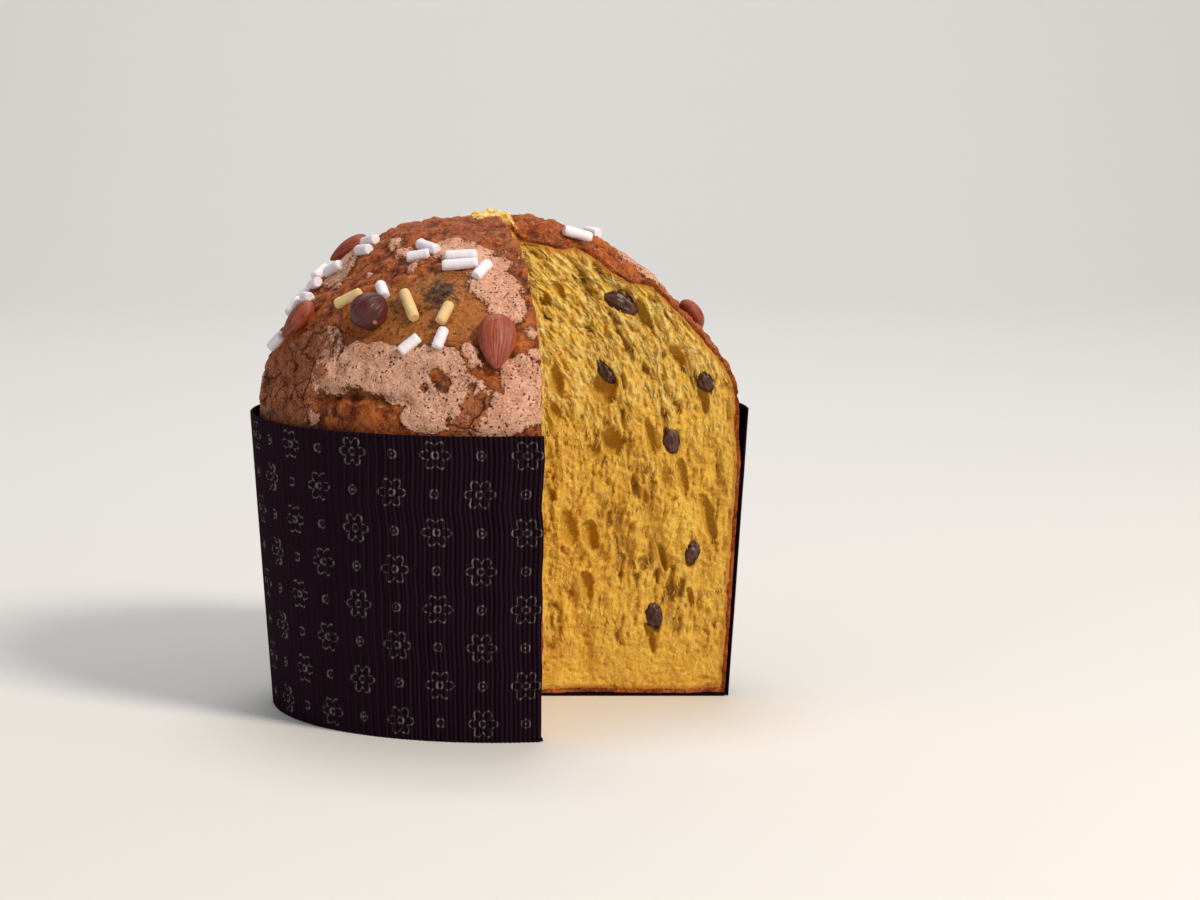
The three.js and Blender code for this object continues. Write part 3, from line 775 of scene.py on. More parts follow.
def fine_crust():
    """The uncut loaf's points, faces and the numbers that its material reads"""
    azimuth, share = disc_grid(DOME_GRID)
    polar = share * math.pi / 2
    p = dome_point(azimuth, polar)
    ragged = 0.9 * hills_at(p, 1.7, 13)
    glaze = glaze_depth(p) + ragged - 5 * smooth(86.5, 89.5, np.degrees(polar))
    golden, lump, thin = (spots(p, places) for places in (GOLDEN, LUMPS, THIN))
    even = 1 - 0.7 * golden
    wrinkles = rolling(p, WRINKLES) * even * (1 - 0.5 * smooth(*SHARP_PLATE_EDGE, glaze))
    pits = smooth(0.35, 0.75, hills_at(p, 1.5, 16)) * even
    torn = TORN_RADIUS - np.linalg.norm(p[..., :2] - TORN_CROWN, axis=-1) + 1.6 * hills_at(p, 2.6, 17)
    relief = crust_relief(p, SHARP_PLATE_EDGE, ragged) + wrinkles - PIT_DEPTH * pits + LUMP_RISE * lump
    relief = relief + smooth(-0.6, 1.8, torn) * (TORN_RISE + rolling(p, TORN_LUMPS))
    # Among these numbers, the folds' depth and the pits and wrinkles are painted by the material as shade and
    # light
    numbers = {
        "glaze": glaze, "thin": thin, "crease": fold_depth(p, FOLDS[ROLLED:]), "golden": golden, "torn": torn,
        "lump": lump, "dent": pits - wrinkles,
    }

    above = grid_border(DOME_GRID, DOME_GRID)
    edge = azimuth.ravel()[above]
    points = [crust_point(azimuth, polar, relief).reshape(-1, 3)]
    faces = grid_faces(DOME_GRID, DOME_GRID).tolist()
    count = DOME_GRID ** 2
    for z in SIDE_HEIGHTS:
        radius, height = side_radius(z), np.full(edge.shape, z)
        points.append(np.stack([radius * np.cos(edge), radius * np.sin(edge), height], axis=1))
        below = count + np.arange(len(edge))
        faces += ring_faces(above, below)
        above = below
        count += len(edge)
    points = np.concatenate([*points, [[0, 0, BREAD_BOTTOM]]])
    faces += fan_faces(above, count)
    for name, values in numbers.items():
        rest = np.full(len(points) - values.size, BELOW_DOME.get(name, 0))
        numbers[name] = np.concatenate([values.ravel(), rest])
    return points, faces, numbers


DISH_DEPTH = 7.0
CUTTER_STEP = 1.75
CUTTER_BACK = 130.0
CRUMB_NUMBERS = ("rim", "pore", "crest", "hollow")


def cutter(cut):
    """The open side of one cut. Its face dips behind the fine crumb, which is a piece of its own."""
    u, h = np.meshgrid(np.arange(-10, 112, CUTTER_STEP), np.arange(-6, 196, CUTTER_STEP))
    seed = CUTS[cut][1]
    rim = distance_inside(OUTLINES[cut], u, h)
    chips = 0.9 * hills(u / 3.1, h / 3.1, 17.5, seed) * smooth(-6, 0, rim) * smooth(3, 1, rim)
    depth = torn_relief(u, h, seed) + chips - DISH_DEPTH * smooth(1.0, 5.5, rim)
    points, faces = closed_sheet(on_cut(cut, u, h, depth), on_cut(cut, u, h, CUTTER_BACK))
    mesh = make_mesh("cutter " + cut, points, faces)
    beyond = np.zeros(len(points) - u.size)
    # The plain crumb round the cut's edge gets a little painted pore shade
    numbers = {"rim": np.concatenate([0.7 * rim.ravel(), beyond]), "pore": np.full(len(points), 0.35)}
    for name in CRUMB_NUMBERS:
        give(mesh, name, numbers.get(name, np.zeros(len(points))))
    mesh.polygons.foreach_set("material_index", np.ones(len(mesh.polygons), dtype=np.int32))
    return scratch_object(mesh)


def scratch_object(mesh):
    for name in ("crust", "crumb"):
        mesh.materials.append(bpy.data.materials.get(name) or bpy.data.materials.new(name))
    return show(mesh.name, mesh)


def boolean(first, second, operation):
    """Joins two closed bodies and returns the result's mesh"""
    modifier = first.modifiers.new(operation.lower(), "BOOLEAN")
    modifier.object = second
    modifier.operation = operation
    modifier.solver = "MANIFOLD"
    made = applied(first)
    bpy.data.objects.remove(second)
    return made


def cut_crust(materials):
    """The loaf with its notch: crust outside, plain crumb round the edge of the cuts"""
    points, faces, numbers = fine_crust()
    mesh = make_mesh("loaf", points, faces)
    plain = {name: np.zeros(len(points)) for name in CRUMB_NUMBERS}
    for name, values in {**numbers, **plain, "known": np.ones(len(points))}.items():
        give(mesh, name, values)
    wedge = boolean(cutter("back"), cutter("front"), "INTERSECT")
    mesh = boolean(scratch_object(mesh), scratch_object(wedge), "DIFFERENCE")
    fill_border(mesh, points, numbers)
    finish_piece("crust", mesh, materials, ["bread"], sharp=60)


def fill_border(mesh, points, numbers):
    """Gives the points along the cut's edge the numbers of the crust beside them"""
    tree = KDTree(len(points))
    for n, p in enumerate(points):
        tree.insert(p * MM, n)
    tree.balance()
    places = mesh_points(mesh)
    unknown = np.nonzero(read(mesh, "known") < 0.5)[0]
    nearest = [tree.find(places[n])[1] for n in unknown]
    for name, values in numbers.items():
        stored = read(mesh, name)
        stored[unknown] = values[nearest]
        give(mesh, name, stored)


# The crumb

# The bubbles that open in a cut face: out, height, half width, half height, depth
SEEN_BUBBLES = [
    (16.3, 148, 2, 2.2, 3), (21.5, 152, 1.8, 3.4, 2.5), (38, 115, 4.5, 7, 4), (20.8, 118, 3, 6.5, 3),
    (20.2, 106.5, 2.2, 4, 2.5), (41.3, 95.5, 4.2, 6, 4.5), (34, 92.5, 3, 3, 3.5), (19.3, 75, 1.8, 2.4, 3),
    (25, 63, 3.2, 8, 3), (33, 61, 3.2, 5.5, 3.5), (32, 42, 2.2, 6, 3.2),
]


def dome_height_at(out):
    share = min(1, out / SHOULDER_RADIUS)
    return SHOULDER_HEIGHT + DOME_HEIGHT * math.sqrt(max(0, 1 - share ** 2))


def random_bubbles(seed, count, start):
    made = []
    for n in range(count):
        out = start + (80 - start) * ((n * 0.618 + scramble(n, 1, 1, seed) * 0.2) % 1)
        z = 14 + 136 * ((n + 0.5) / count)
        width = 1.2 + 1.4 * scramble(n, 2, 1, seed)
        if z + 20 > dome_height_at(out):
            continue
        made.append((out, z, width, width * (2.4 + 2.2 * scramble(n, 3, 1, seed)), 2.5 + width * 0.6))
    return made


BUBBLES = {
    "back": SEEN_BUBBLES + random_bubbles(31, 9, 50),
    "front": random_bubbles(32, 14, 12),
}

# Raisins that the knife laid bare: out, height, length, thickness, lean in degrees from upright
RAISINS = {
    "back": [
        (44, 147, 15, 7, 62), (39.5, 121, 9.5, 5, 38), (63, 96, 10, 7, 8),
        (71, 54, 9, 6.5, -12), (57, 30, 10, 7, 10), (76, 118, 8.5, 6, 25),
    ],
    "front": [
        (22, 140, 9, 6.5, 20), (52, 132, 10, 7, 50), (36, 108, 9.5, 7, 10), (70, 104, 9, 6, 15),
        (18, 78, 9, 6.5, -8), (54, 72, 11, 7.5, 6), (74, 44, 9, 6.5, -10), (33, 34, 10, 7, 14),
    ],
}
RAISIN_SUNK = 0.25
BUBBLE_LEAN = 0.22
UPPER_BUBBLE_LEAN = 0.6
LEAN_GROWS_AT = 125
DEEPEST = 5.6
OUTLINES = {cut: face_outline(cut) for cut in CUTS}


def leaning(out, z, at_out, at_z, slope):
    """Distances along and across a line that leans away from upright by a slope"""
    length = math.hypot(1, slope)
    dx, dz = out - at_out, z - at_z
    return (dz - slope * dx) / length, (dx + slope * dz) / length


# The strands hang upright and follow the crust higher up, in rings with this middle, width and height
FLOW_MIDDLE = (-25, 96)
FLOW_WIDTH = 113
FLOW_HEIGHT = 82
FLOW_REACH = 88
FLOW_LEAN = 0.5


def ring_place(out, z):
    """Where a place of the crumb is in the rings, as shares of their width and height"""
    return (out - FLOW_MIDDLE[0]) / FLOW_WIDTH, np.maximum(0, z - FLOW_MIDDLE[1]) / FLOW_HEIGHT


def strand_flow(out, z, seed):
    """Places in the crumb across and along its strands"""
    across = FLOW_REACH * np.hypot(*ring_place(out, z)) + FLOW_LEAN * out
    across = across + ripples(out, z, seed, (1.8, 9, 12, 1.5), (0.8, 2.6, 3.4, 2.5))
    along = z - FLOW_LEAN * out + ripples(out, z, seed, (2.4, 8, 10, 4.5), (1.3, 2.4, 3.0, 5.5))
    return across, along


def soft_pits(across, along, wide, tall, seed):
    """Soft uneven pits of some size, 0 between them and 1 at their middles"""
    coarse = hills(across / wide, along / tall, 7.5, seed)
    fine = hills(2.3 * across / wide, 2.3 * along / tall, 3.5, seed + 40)
    return smooth(0.02, 0.75, coarse + 0.4 * fine)


def ridges(across, along, wide, tall, seed):
    """Thin uneven strands some way apart, 1 on their crests and 0 between them"""
    return np.clip(1 - 2.6 * np.abs(hills(across / wide, along / tall, 7.5, seed)), 0, 1)


def crumb_relief(cut, out, z):
    """The crumb's height above the cut's plane, and the numbers that its material reads"""
    seed = CUTS[cut][1]
    rim = distance_inside(OUTLINES[cut], out, z)
    across, along = strand_flow(out, z, seed)
    upper = smooth(80, 132, z)
    foot = np.clip(smooth(26, 12, z) + 0.6 * smooth(4.5, 2.0, rim), 0, 1)
    rest = 1 - foot
    cotton = smooth(-0.15, 0.45, hills(out / 13, z / 16, 11.5, seed) + 0.15 - 0.5 * upper)
    airy = rest * (1 - 0.75 * cotton)
    large = soft_pits(across, along, 3.6, 7.5, seed + 1) * airy
    medium = soft_pits(across, along, 1.9, 3.6, seed + 2) * (0.4 + 0.6 * rest)
    turned_out, turned_z = 0.8 * out + 0.6 * z, 0.8 * z - 0.6 * out
    small = soft_pits(turned_out, turned_z, 1.3, 1.4, seed + 3)
    flat = soft_pits(out, z, 4.2, 1.6, seed + 4) * foot
    stringy = 0.35 + 0.65 * upper
    strands = ridges(across, along, 2.2, 7.5, seed + 5) * rest * (1 - 0.5 * cotton) * stringy
    threads = ridges(across, along, 1.25, 4.0, seed + 6) * (0.4 + 0.6 * rest) * stringy
    depth = 2.4 * large + 1.1 * medium * (1 - 0.5 * large) + 0.45 * small + 0.7 * flat
    lumps = ripples(out, z, seed, (1.0, 4, 6, 6.5))
    lumps = lumps + ripples(turned_out, turned_z, seed, (0.5, 1.9, 1.9, 9.5), (0.35, 1, 1, 12.5))
    lumps = lumps + (1 - upper) * ripples(turned_out, turned_z, seed, (0.7, 2.8, 3.6, 16.5))
    folds = (1 - upper) * ripples(across, along, seed, (1.5, 6, 26, 8.5))
    height = (folds + lumps) * (0.3 + 0.7 * rest) + 0.9 * strands + 0.5 * threads
    # Pale crests of the strands: partly their own colour, partly a painted highlight
    crest = np.clip(0.75 * strands + 0.6 * threads - 0.25, 0, 1) * (1 - 0.8 * large)
    crest = crest * smooth(-0.6, 0.4, hills(out / 1.7, z / 2.1, 13.5, seed))
    hollow = np.zeros(out.shape)

    wobble = 1 + ripples(out, z, seed, (0.35, 2.6, 4, 10.5), (0.2, 1.1, 1.3, 14.5))
    for at_out, at_z, half_width, half_height, deep in BUBBLES[cut]:
        up, side = leaning(out, z, at_out, at_z, BUBBLE_LEAN if at_z < LEAN_GROWS_AT else UPPER_BUBBLE_LEAN)
        away = np.hypot(up / half_height, side / half_width) * wobble
        inside = smooth(1.15, 0.65, away)
        depth = depth * (1 - 0.85 * inside) + deep * np.clip(1 - away ** 2, 0, 1) ** 0.6
        height = height * (1 - 0.8 * inside)
        crest = crest * (1 - inside)
        hollow = np.maximum(hollow, inside)
    wobble = 1 + ripples(out, z, seed, (0.3, 1.6, 2, 15.5))
    for at_out, at_z, length, thickness, lean in RAISINS[cut]:
        up, side = leaning(out, z, at_out, at_z, math.tan(math.radians(lean)))
        under = smooth(0.9, 0.7, np.hypot(up / (length / 2), side / (thickness / 2)))
        gap = np.hypot((up + 0.32 * length) / (length * 0.36), side / (thickness * 0.4)) * wobble
        gap = smooth(1.05, 0.5, gap)
        depth = np.maximum(depth * (1 - under) + 2.2 * under, 2.6 * gap)
        height = height * (1 - under)
        crest = crest * (1 - np.maximum(under, gap))
        hollow = np.maximum(hollow, 0.7 * gap)

    broad = torn_relief(out, z, seed)
    inner = smooth(0.6, 2.6, rim)
    height = np.maximum(broad + (height + 0.2 - depth) * inner - 0.7 * smooth(1.8, 0.6, rim), broad - DEEPEST)
    # How deep a place lies in a pore, which the material paints as shade
    pore = np.clip(depth / 2.6, 0, 1)
    return height, {"pore": pore * inner, "crest": crest * inner, "hollow": hollow * inner, "rim": rim}


def strand_direction(cut, out, z):
    """Which way the strands run at places on a cut face"""
    beside, above = ring_place(out, z)
    far = np.hypot(beside, above) + 1e-9
    rise_out = FLOW_REACH * beside / FLOW_WIDTH / far + FLOW_LEAN
    rise_z = FLOW_REACH * above / FLOW_HEIGHT / far
    along, _ = cut_frame(cut)
    ways = rise_out[..., None] * np.array([0, 0, 1]) - rise_z[..., None] * along
    return ways / np.linalg.norm(ways, axis=-1, keepdims=True)


CRUMB_PAST_AXIS = 8
CRUMB_BACK = 6.2
CRUMB_TAPER = 0.93
FACE_MIDDLE = (35, 85)


def face_grid(cut):
    """A grid over one cut face: distances from the axis and heights"""
    outline = OUTLINES[cut]
    z = np.linspace(BREAD_BOTTOM + 0.6, outline[0, 1] - 1.0, CRUMB_ROWS)
    reach = np.interp(z, outline[::-1, 1][1:], outline[::-1, 0][1:]) - 0.9
    share = np.linspace(0, 1, CRUMB_COLUMNS)
    out = -CRUMB_PAST_AXIS + (reach[:, None] + CRUMB_PAST_AXIS) * share[None, :]
    return out, np.broadcast_to(z[:, None], out.shape)


def crumb_face(cut, material):
    """One torn face of crumb, as a closed sheet that fills the dish in the loaf"""
    out, z = face_grid(cut)
    relief, numbers = crumb_relief(cut, out, z)
    inner = [middle + (v - middle) * CRUMB_TAPER for v, middle in zip((out, z), FACE_MIDDLE)]
    points, faces = closed_sheet(on_cut(cut, out, z, relief), on_cut(cut, *inner, -CRUMB_BACK))
    mesh = make_mesh(cut + "_crumb_face", points, faces)
    for name, values in numbers.items():
        beyond = np.full(len(points) - out.size, 9.0 if name == "rim" else 0.0)
        give(mesh, name, np.concatenate([values.ravel(), beyond]))
    finish_piece(cut + "_crumb_face", mesh, [material], ["bread"])


def rod(node, sides, narrowing, *ends):
    """A rod along z, one unit long and narrower at its ends, and how far its points are from the middle"""
    made = node("GeometryNodeMeshCylinder", {"Radius": 1.0, "Depth": 1.0, **sides}, out="Mesh")
    place = node("GeometryNodeInputPosition")
    height = node("ABSOLUTE", node("SPLIT", place, out="Z"))
    narrow = node(narrowing, height, *ends)
    narrowed = node("VECTOR", place, node("JOIN", narrow, narrow, 1.0), operation="MULTIPLY")
    return node("BEND", {"Geometry": made, "Position": narrowed}), height


def roughened(node, instances, place, size, detail, reach):
    """Makes instances real and shifts their points at random, in lumps of a size in mm"""
    real = node("GeometryNodeRealizeInstances", instances)
    lumps = node("NOISE", {"Vector": place, "Scale": per_mm(size), "Detail": detail}, out="Color")
    lumps = node("VECTOR", lumps, (0.5, 0.5, 0.5), operation="SUBTRACT")
    lumps = node("VECTOR", {0: lumps, 3: reach}, operation="SCALE")
    return node("BEND", {"Geometry": real, "Offset": lumps})


# Short strands that stand off the torn crumb
STRAND_SIZES = {
    "Per square metre": 0.25 / MM ** 2, "Shortest": 1.2 * MM, "Longest": 3.8 * MM, "Radius": 0.32 * MM,
    "Tangle": 0.5, "Seed": 5,
}


def strand_tree(node):
    """Scatters short bent strands over a mesh, most of them lying along its grain"""
    strand, height = rod(node, {"Vertices": 5, "Side Segments": 3}, "RANGE", 0.1, 0.5, 1.0, 0.25)
    bow = node("MULTIPLY", node("POWER", height, 2.0), 6.0)
    strand = node("BEND", {"Geometry": strand, "Offset": node("JOIN", bow, 0.0, 0.0)})

    fluff = node("STORED", {"Name": "fluff"}, data_type="FLOAT")
    grain = node("STORED", {"Name": "grain"}, data_type="FLOAT_VECTOR")
    density = node("MULTIPLY", fluff, "Per square metre")
    inputs = {"Mesh": "Geometry", "Density": density, "Seed": "Seed"}
    spots = node("GeometryNodeDistributePointsOnFaces", inputs, out="Points")
    # Some strands get the pale crest colour with its painted highlight, by a random amount
    light = node("MULTIPLY", node("RANDOM", {2: 0.0, 3: 0.8, 8: "Seed"}, out=1, data_type="FLOAT"), fluff)
    inputs = {"Geometry": spots, "Name": "crest", "Value": light}
    spots = node("GeometryNodeStoreNamedAttribute", inputs, data_type="FLOAT", domain="POINT")
    chance, roll = (
        node("RANDOM", {0: low, 1: high, 8: "Seed"}, data_type="FLOAT_VECTOR")
        for low, high in (((-1, -1, -1), (1, 1, 1)), ((0, 0, 0), (0, 0, 2 * math.pi)))
    )
    tangle = node("VECTOR", {0: chance, 3: "Tangle"}, operation="SCALE")
    direction = node("VECTOR", grain, tangle, operation="ADD")
    turn = {"Rotation": node("FunctionNodeEulerToRotation", roll), "Vector": direction}
    turn = node("FunctionNodeAlignRotationToVector", turn, axis="Z")
    length = node("RANDOM", {2: "Shortest", 3: "Longest", 8: "Seed"}, out=1, data_type="FLOAT")
    size = node("JOIN", "Radius", "Radius", length)
    inputs = {"Points": spots, "Instance": strand, "Rotation": turn, "Scale": size}
    strands = node("GeometryNodeInstanceOnPoints", inputs)
    return roughened(node, strands, node("GeometryNodeInputPosition"), 1.2, 2.0, "Radius")


def crumb_strands(material):
    """The loose strands of both torn faces, as one piece"""
    points, faces, numbers, ways = [], [], [], []
    for cut in CUTS:
        out, z = face_grid(cut)
        relief, found = crumb_relief(cut, out, z)
        found["fluff"] = (1 - found["hollow"]) * (1 - 0.6 * found["pore"]) * smooth(1.2, 3.5, found["rim"])
        found["fluff"] = found["fluff"] * smooth(4, 26, z) * (0.45 + 0.55 * smooth(70, 130, z)) * (out > 0)
        faces.append(grid_faces(*out.shape) + sum(len(p) for p in points))
        points.append(on_cut(cut, out, z, relief).reshape(-1, 3))
        numbers.append(found)
        ways.append(strand_direction(cut, out, z).reshape(-1, 3))
    mesh = make_mesh("torn faces", np.concatenate(points), np.concatenate(faces))
    for name in ("rim", "fluff"):
        give(mesh, name, np.concatenate([found[name].ravel() for found in numbers]))
    give(mesh, "grain", np.concatenate(ways))
    made = run_tree("crumb strands", mesh, strand_tree, {**STRAND_SIZES, "Material": material})
    finish_piece("crumb_strands", made, [material], ["bread"])


# Nuts, raisins and pearl sugar

ALMONDS = [
    (-89, 63.8, 180, 21), (-154.8, 60.5, 204, 17), (174, 37.5, 192, 17),
    (153, 68, 75, 21), (128, 44, 150, 20), (118, 74, 60, 21), (78, 57, 100, 22),
    (42, 72, 30, 20), (56, 42, 65, 21), (22, 60, 130, 20),
]
HAZELNUTS = [(-124, 57.4, 30, 13.5), (146, 55, 200, 13), (98, 48, 10, 13), (64, 76, 80, 13.5)]
ALMOND_WIDTH = 0.59
ALMOND_THICKNESS = 0.36
ALMOND_SUNK = 0.05
HAZELNUT_SUNK = 0.12
NUT_AROUND = 132
NUT_RINGS = 48


def ball(around, rings):
    """A closed unit ball with its poles on X: points and faces"""
    polar = np.linspace(0, math.pi, rings + 1)[1:-1]
    turn = np.arange(around) * 2 * math.pi / around
    t, a = np.meshgrid(polar, turn, indexing="ij")
    middle = np.stack([np.cos(t), np.sin(t) * np.cos(a), np.sin(t) * np.sin(a)], axis=-1)
    points = np.concatenate([middle.reshape(-1, 3), [[1, 0, 0], [-1, 0, 0]]])
    n = np.arange(t.size).reshape(t.shape)
    faces = [face for above, below in zip(n[:-1], n[1:]) for face in ring_faces(above, below)]
    faces += [face[::-1] for face in fan_faces(n[0], t.size)] + fan_faces(n[-1], t.size + 1)
    return points, faces


def placement(at, along, normal):
    """Axes with x along a direction and z along a normal, and the place of their origin"""
    z = normal / np.linalg.norm(normal)
    x = along - z * (along @ z)
    x = x / np.linalg.norm(x)
    return np.stack([x, np.cross(z, x), z]), at


def lie_on_crust(azimuth, polar, heading, lift):
    """Where a topping lies on the crust; its heading is measured from the uphill direction"""
    azimuth, polar, heading = (math.radians(v) for v in (azimuth, polar, heading))
    normal = dome_normal(azimuth, polar)
    sideways = np.array([-math.sin(azimuth), math.cos(azimuth), 0])
    uphill = np.cross(normal, sideways)
    along = uphill * math.cos(heading) + sideways * math.sin(heading)
    return placement(crust_point(azimuth, polar) + normal * lift, along, normal)


def nut_lines(x, y, z, seed, *sizes):
    """Random lines from end to end of a nut, by how many go round it and how fast they change along it"""
    turn = np.arctan2(z, y)
    for n, (across, along) in enumerate(sizes):
        yield hills(np.cos(turn) * across, np.sin(turn) * across, x * along + 5, seed + n)


def almond(length, seed):
    """An almond along x, its point towards +x, with fine shallow lines from end to end"""
    points, faces = ball(NUT_AROUND, NUT_RINGS)
    x, y, z = points.T
    groove, thin = nut_lines(x, y, z, seed, (9, 1.1), (19, 2.2))
    vein = np.clip(0.5 + 0.5 * groove + 0.6 * thin, 0, 1)
    lines = (0.014 * groove + 0.008 * thin) * (1 - x ** 4)
    swelling = 1 + lines + 0.04 * hills(x * 1.5, y * 1.5, z * 1.5, seed + 2)
    narrow = (1 - 0.3 * x - 0.12 * np.maximum(0, x) ** 2) * swelling
    shaped = length / 2 * np.stack([x, ALMOND_WIDTH * y * narrow, ALMOND_THICKNESS * z * narrow], axis=1)
    return shaped, faces, vein


SCAR = np.array([-0.17, -0.985, 0.0])


def hazelnut(size, seed):
    """A hazelnut with a small point, faint ribs and a pale scar"""
    points, faces = ball(NUT_AROUND, NUT_RINGS)
    x, y, z = points.T
    rib, thin = nut_lines(x, y, z, seed, (3.5, 1.2), (9, 2.0))
    vein = np.clip(0.42 + 0.3 * rib + 0.35 * thin, 0, 1)
    vein = np.maximum(vein, 1.45 * smooth(0.975, 0.992, points @ SCAR + 0.008 * thin))
    along = np.where(x > 0, 1.0 + 0.12 * np.maximum(x, 0) ** 4, 0.9)
    swelling = 1 + 0.05 * rib + 0.022 * thin + 0.04 * hills(x * 1.6, y * 1.6, z * 1.6, seed + 2)
    return size / 2 * np.stack([x * along, y * swelling, z * swelling], axis=1), faces, vein


def raisin(length, thickness, seed):
    """A raisin: the solid's lump, with wrinkles that run round and along it"""
    points, faces = ball(72, 48)
    wide = 1 + 0.1 * hills_at(points + 5 / 2.2, 1 / 2.2, seed)
    wrinkle = 1 - 2 * np.abs(hills_at(points + 7, 0.5, seed + 9))
    fine = hills_at(points + 3, 0.2, seed + 10)
    size = np.array([length / 2, thickness / 2, thickness * 0.4])
    shaped = points * size * (wide + 0.11 * wrinkle + 0.03 * fine)[:, None]
    # The wrinkles' ridges get a painted highlight and their folds painted shade
    return shaped, faces, np.clip(0.5 + 0.5 * wrinkle, 0, 1)


def show_small(name, made, place, material):
    """Shows a nut or a raisin in its place, standing for the solid of the same name"""
    points, faces, vein = made
    axes, at = place
    mesh = make_mesh(name + "_skin", points @ axes + at, faces)
    give(mesh, "vein", vein)
    finish_piece(name + "_skin", mesh, [material], [name])


def nuts_and_raisins():
    almond_material = nut_skin("almond skin", "#98422A", "#BE7350", "#622818", 0.5)
    hazelnut_material = nut_skin("hazelnut skin", "#55211F", "#87473C", "#2C0F10", 0.45)
    raisin_material = nut_skin("raisin", "#3A201A", "#744D3C", "#170B0B", 0.36)
    for n, (*spot, length) in enumerate(ALMONDS):
        place = lie_on_crust(*spot, length * ALMOND_THICKNESS * (0.5 - ALMOND_SUNK * 4))
        show_small(f"almond_{n + 1}", almond(length, 70 + n * 3), place, almond_material)
    for n, (*spot, size) in enumerate(HAZELNUTS):
        place = lie_on_crust(*spot, size * (0.5 - HAZELNUT_SUNK))
        made = hazelnut(size, 110 + n * 3)
        show_small(f"hazelnut_{n + 1}", made, place, hazelnut_material)
    for cut, raisins in RAISINS.items():
        along, into = cut_frame(cut)
        for n, (out, z, length, thickness, lean) in enumerate(raisins):
            sunk = torn_relief(out, z, CUTS[cut][1]) - thickness * RAISIN_SUNK
            up = np.array([0, 0, 1]) - along * math.tan(math.radians(lean))
            place = placement(on_cut(cut, out, z, sunk), up, into)
            made = raisin(length, thickness, n + 41)
            show_small(f"raisin_{cut}_cut_{n + 1}", made, place, raisin_material)


# Sticks of pearl sugar: azimuth, polar angle, heading and length
SUGAR_RADIUS = 2.0
SUGAR_SUNK = 0.6
CREAM_SUGAR = [(-135.6, 52.5, 54, 10.5), (-113.8, 53.3, 145, 14), (-102.8, 55.8, -165, 8.2)]
WHITE_SUGAR = [
    (-126.2, 48, 136, 8), (-103, 63, -168, 7.5), (-110.8, 65, -136, 8.2), (-119.8, 31.2, 113, 11),
    (-121.1, 34.8, 69, 8.2), (-102.3, 36.1, 85, 11), (-101.8, 39.3, 82, 12.5), (-94, 41.3, 28, 8.5),
    (-166.5, 31.5, 68, 9), (-157.5, 34.8, 80, 9), (-168.5, 42.8, 44, 8), (-178, 46, 130, 8),
    (-172.5, 48.8, 73, 9), (-165.5, 53, 88, 9.5), (-176.5, 53.5, 100, 8), (-171.5, 57, 147, 8),
    (-162.5, 67.5, 53, 9), (26, 28, 80, 8),
]
HIDDEN_SUGAR = 24
CLEAR_OF_NUTS = 13


def sugar_places():
    """Every stick as azimuth, polar angle, heading, length and how cream its colour is"""
    nut_places = [on_dome(azimuth, polar) for azimuth, polar, _, _ in ALMONDS + HAZELNUTS]
    places = [(*stick, 1.0) for stick in CREAM_SUGAR] + [(*stick, 0.0) for stick in WHITE_SUGAR]
    for n in range(HIDDEN_SUGAR):
        azimuth = 5 + 172 * ((n * 0.618 + 0.1 * scramble(n, 1, 0, 61)) % 1)
        polar = 14 + 66 * math.sqrt((n + 0.5) / HIDDEN_SUGAR)
        if any(np.linalg.norm(nut - on_dome(azimuth, polar)) < CLEAR_OF_NUTS for nut in nut_places):
            continue
        heading, length = 360 * scramble(n, 2, 0, 61), 7 + 5.5 * scramble(n, 3, 0, 61)
        places.append((azimuth, polar, heading, length, float(scramble(n, 4, 0, 61) < 0.2)))
    return places


def sugar_tree(node):
    """Puts one slightly rounded stick on every point, turned and sized by the point's own numbers"""
    sides = {"Vertices": 16, "Side Segments": 20, "Fill Segments": 3}
    stick, _ = rod(node, sides, "SMOOTH", 0.43, 0.5, 1.0, 0.8)
    stick = node("GeometryNodeTransform", {"Geometry": stick, "Rotation": (0, math.pi / 2, 0)})
    turn = node("STORED", {"Name": "turn"}, data_type="FLOAT_VECTOR")
    length = node("STORED", {"Name": "length"}, data_type="FLOAT")
    size = node("JOIN", length, "Radius", "Radius")
    inputs = {"Points": "Geometry", "Instance": stick, "Rotation": turn, "Scale": size}
    sticks = node("GeometryNodeInstanceOnPoints", inputs)
    shift = node("VECTOR", node("GeometryNodeInputPosition"), (0.37, 0.11, 0.73), operation="ADD")
    seeded = node("VECTOR", {0: shift, 3: "Seed"}, operation="SCALE")
    return roughened(node, sticks, seeded, 2.0, 3.0, "Roughness")


def pearl_sugar():
    """All the sugar sticks as one piece"""
    material = sugar_finish()
    turns, lengths, creams, points = [], [], [], []
    for azimuth, polar, heading, length, cream in sugar_places():
        axes, at = lie_on_crust(azimuth, polar, heading, SUGAR_RADIUS - SUGAR_SUNK)
        points.append(at * MM)
        turns.append(Matrix(axes.T.tolist()).to_euler())
        lengths.append(length * MM)
        creams.append(cream)
    mesh = bpy.data.meshes.new("sugar places")
    mesh.from_pydata(points, [], [])
    for name, values in (("turn", turns), ("length", lengths), ("cream", creams)):
        give(mesh, name, values)
    values = {"Radius": SUGAR_RADIUS * MM, "Roughness": 0.8 * MM, "Seed": 3, "Material": material}
    made = run_tree("pearl sugar", mesh, sugar_tree, values)
    finish_piece("pearl_sugar", made, [material], ["bread"], sharp=55)


# The paper mould

FLUTE_PITCH = 1.67
FLUTE_DEPTH = 0.42
SHEET = 0.28
COLUMNS_PER_FLUTE = 8
WALL_ROWS = 14
MEAN_RADIUS = (CASE_BASE_RADIUS + CASE_RIM_RADIUS) / 2 - PAPER / 2
SWEEP = 2 * math.pi + FRONT_CUT - BACK_CUT
PAPER_BACK = 0.5


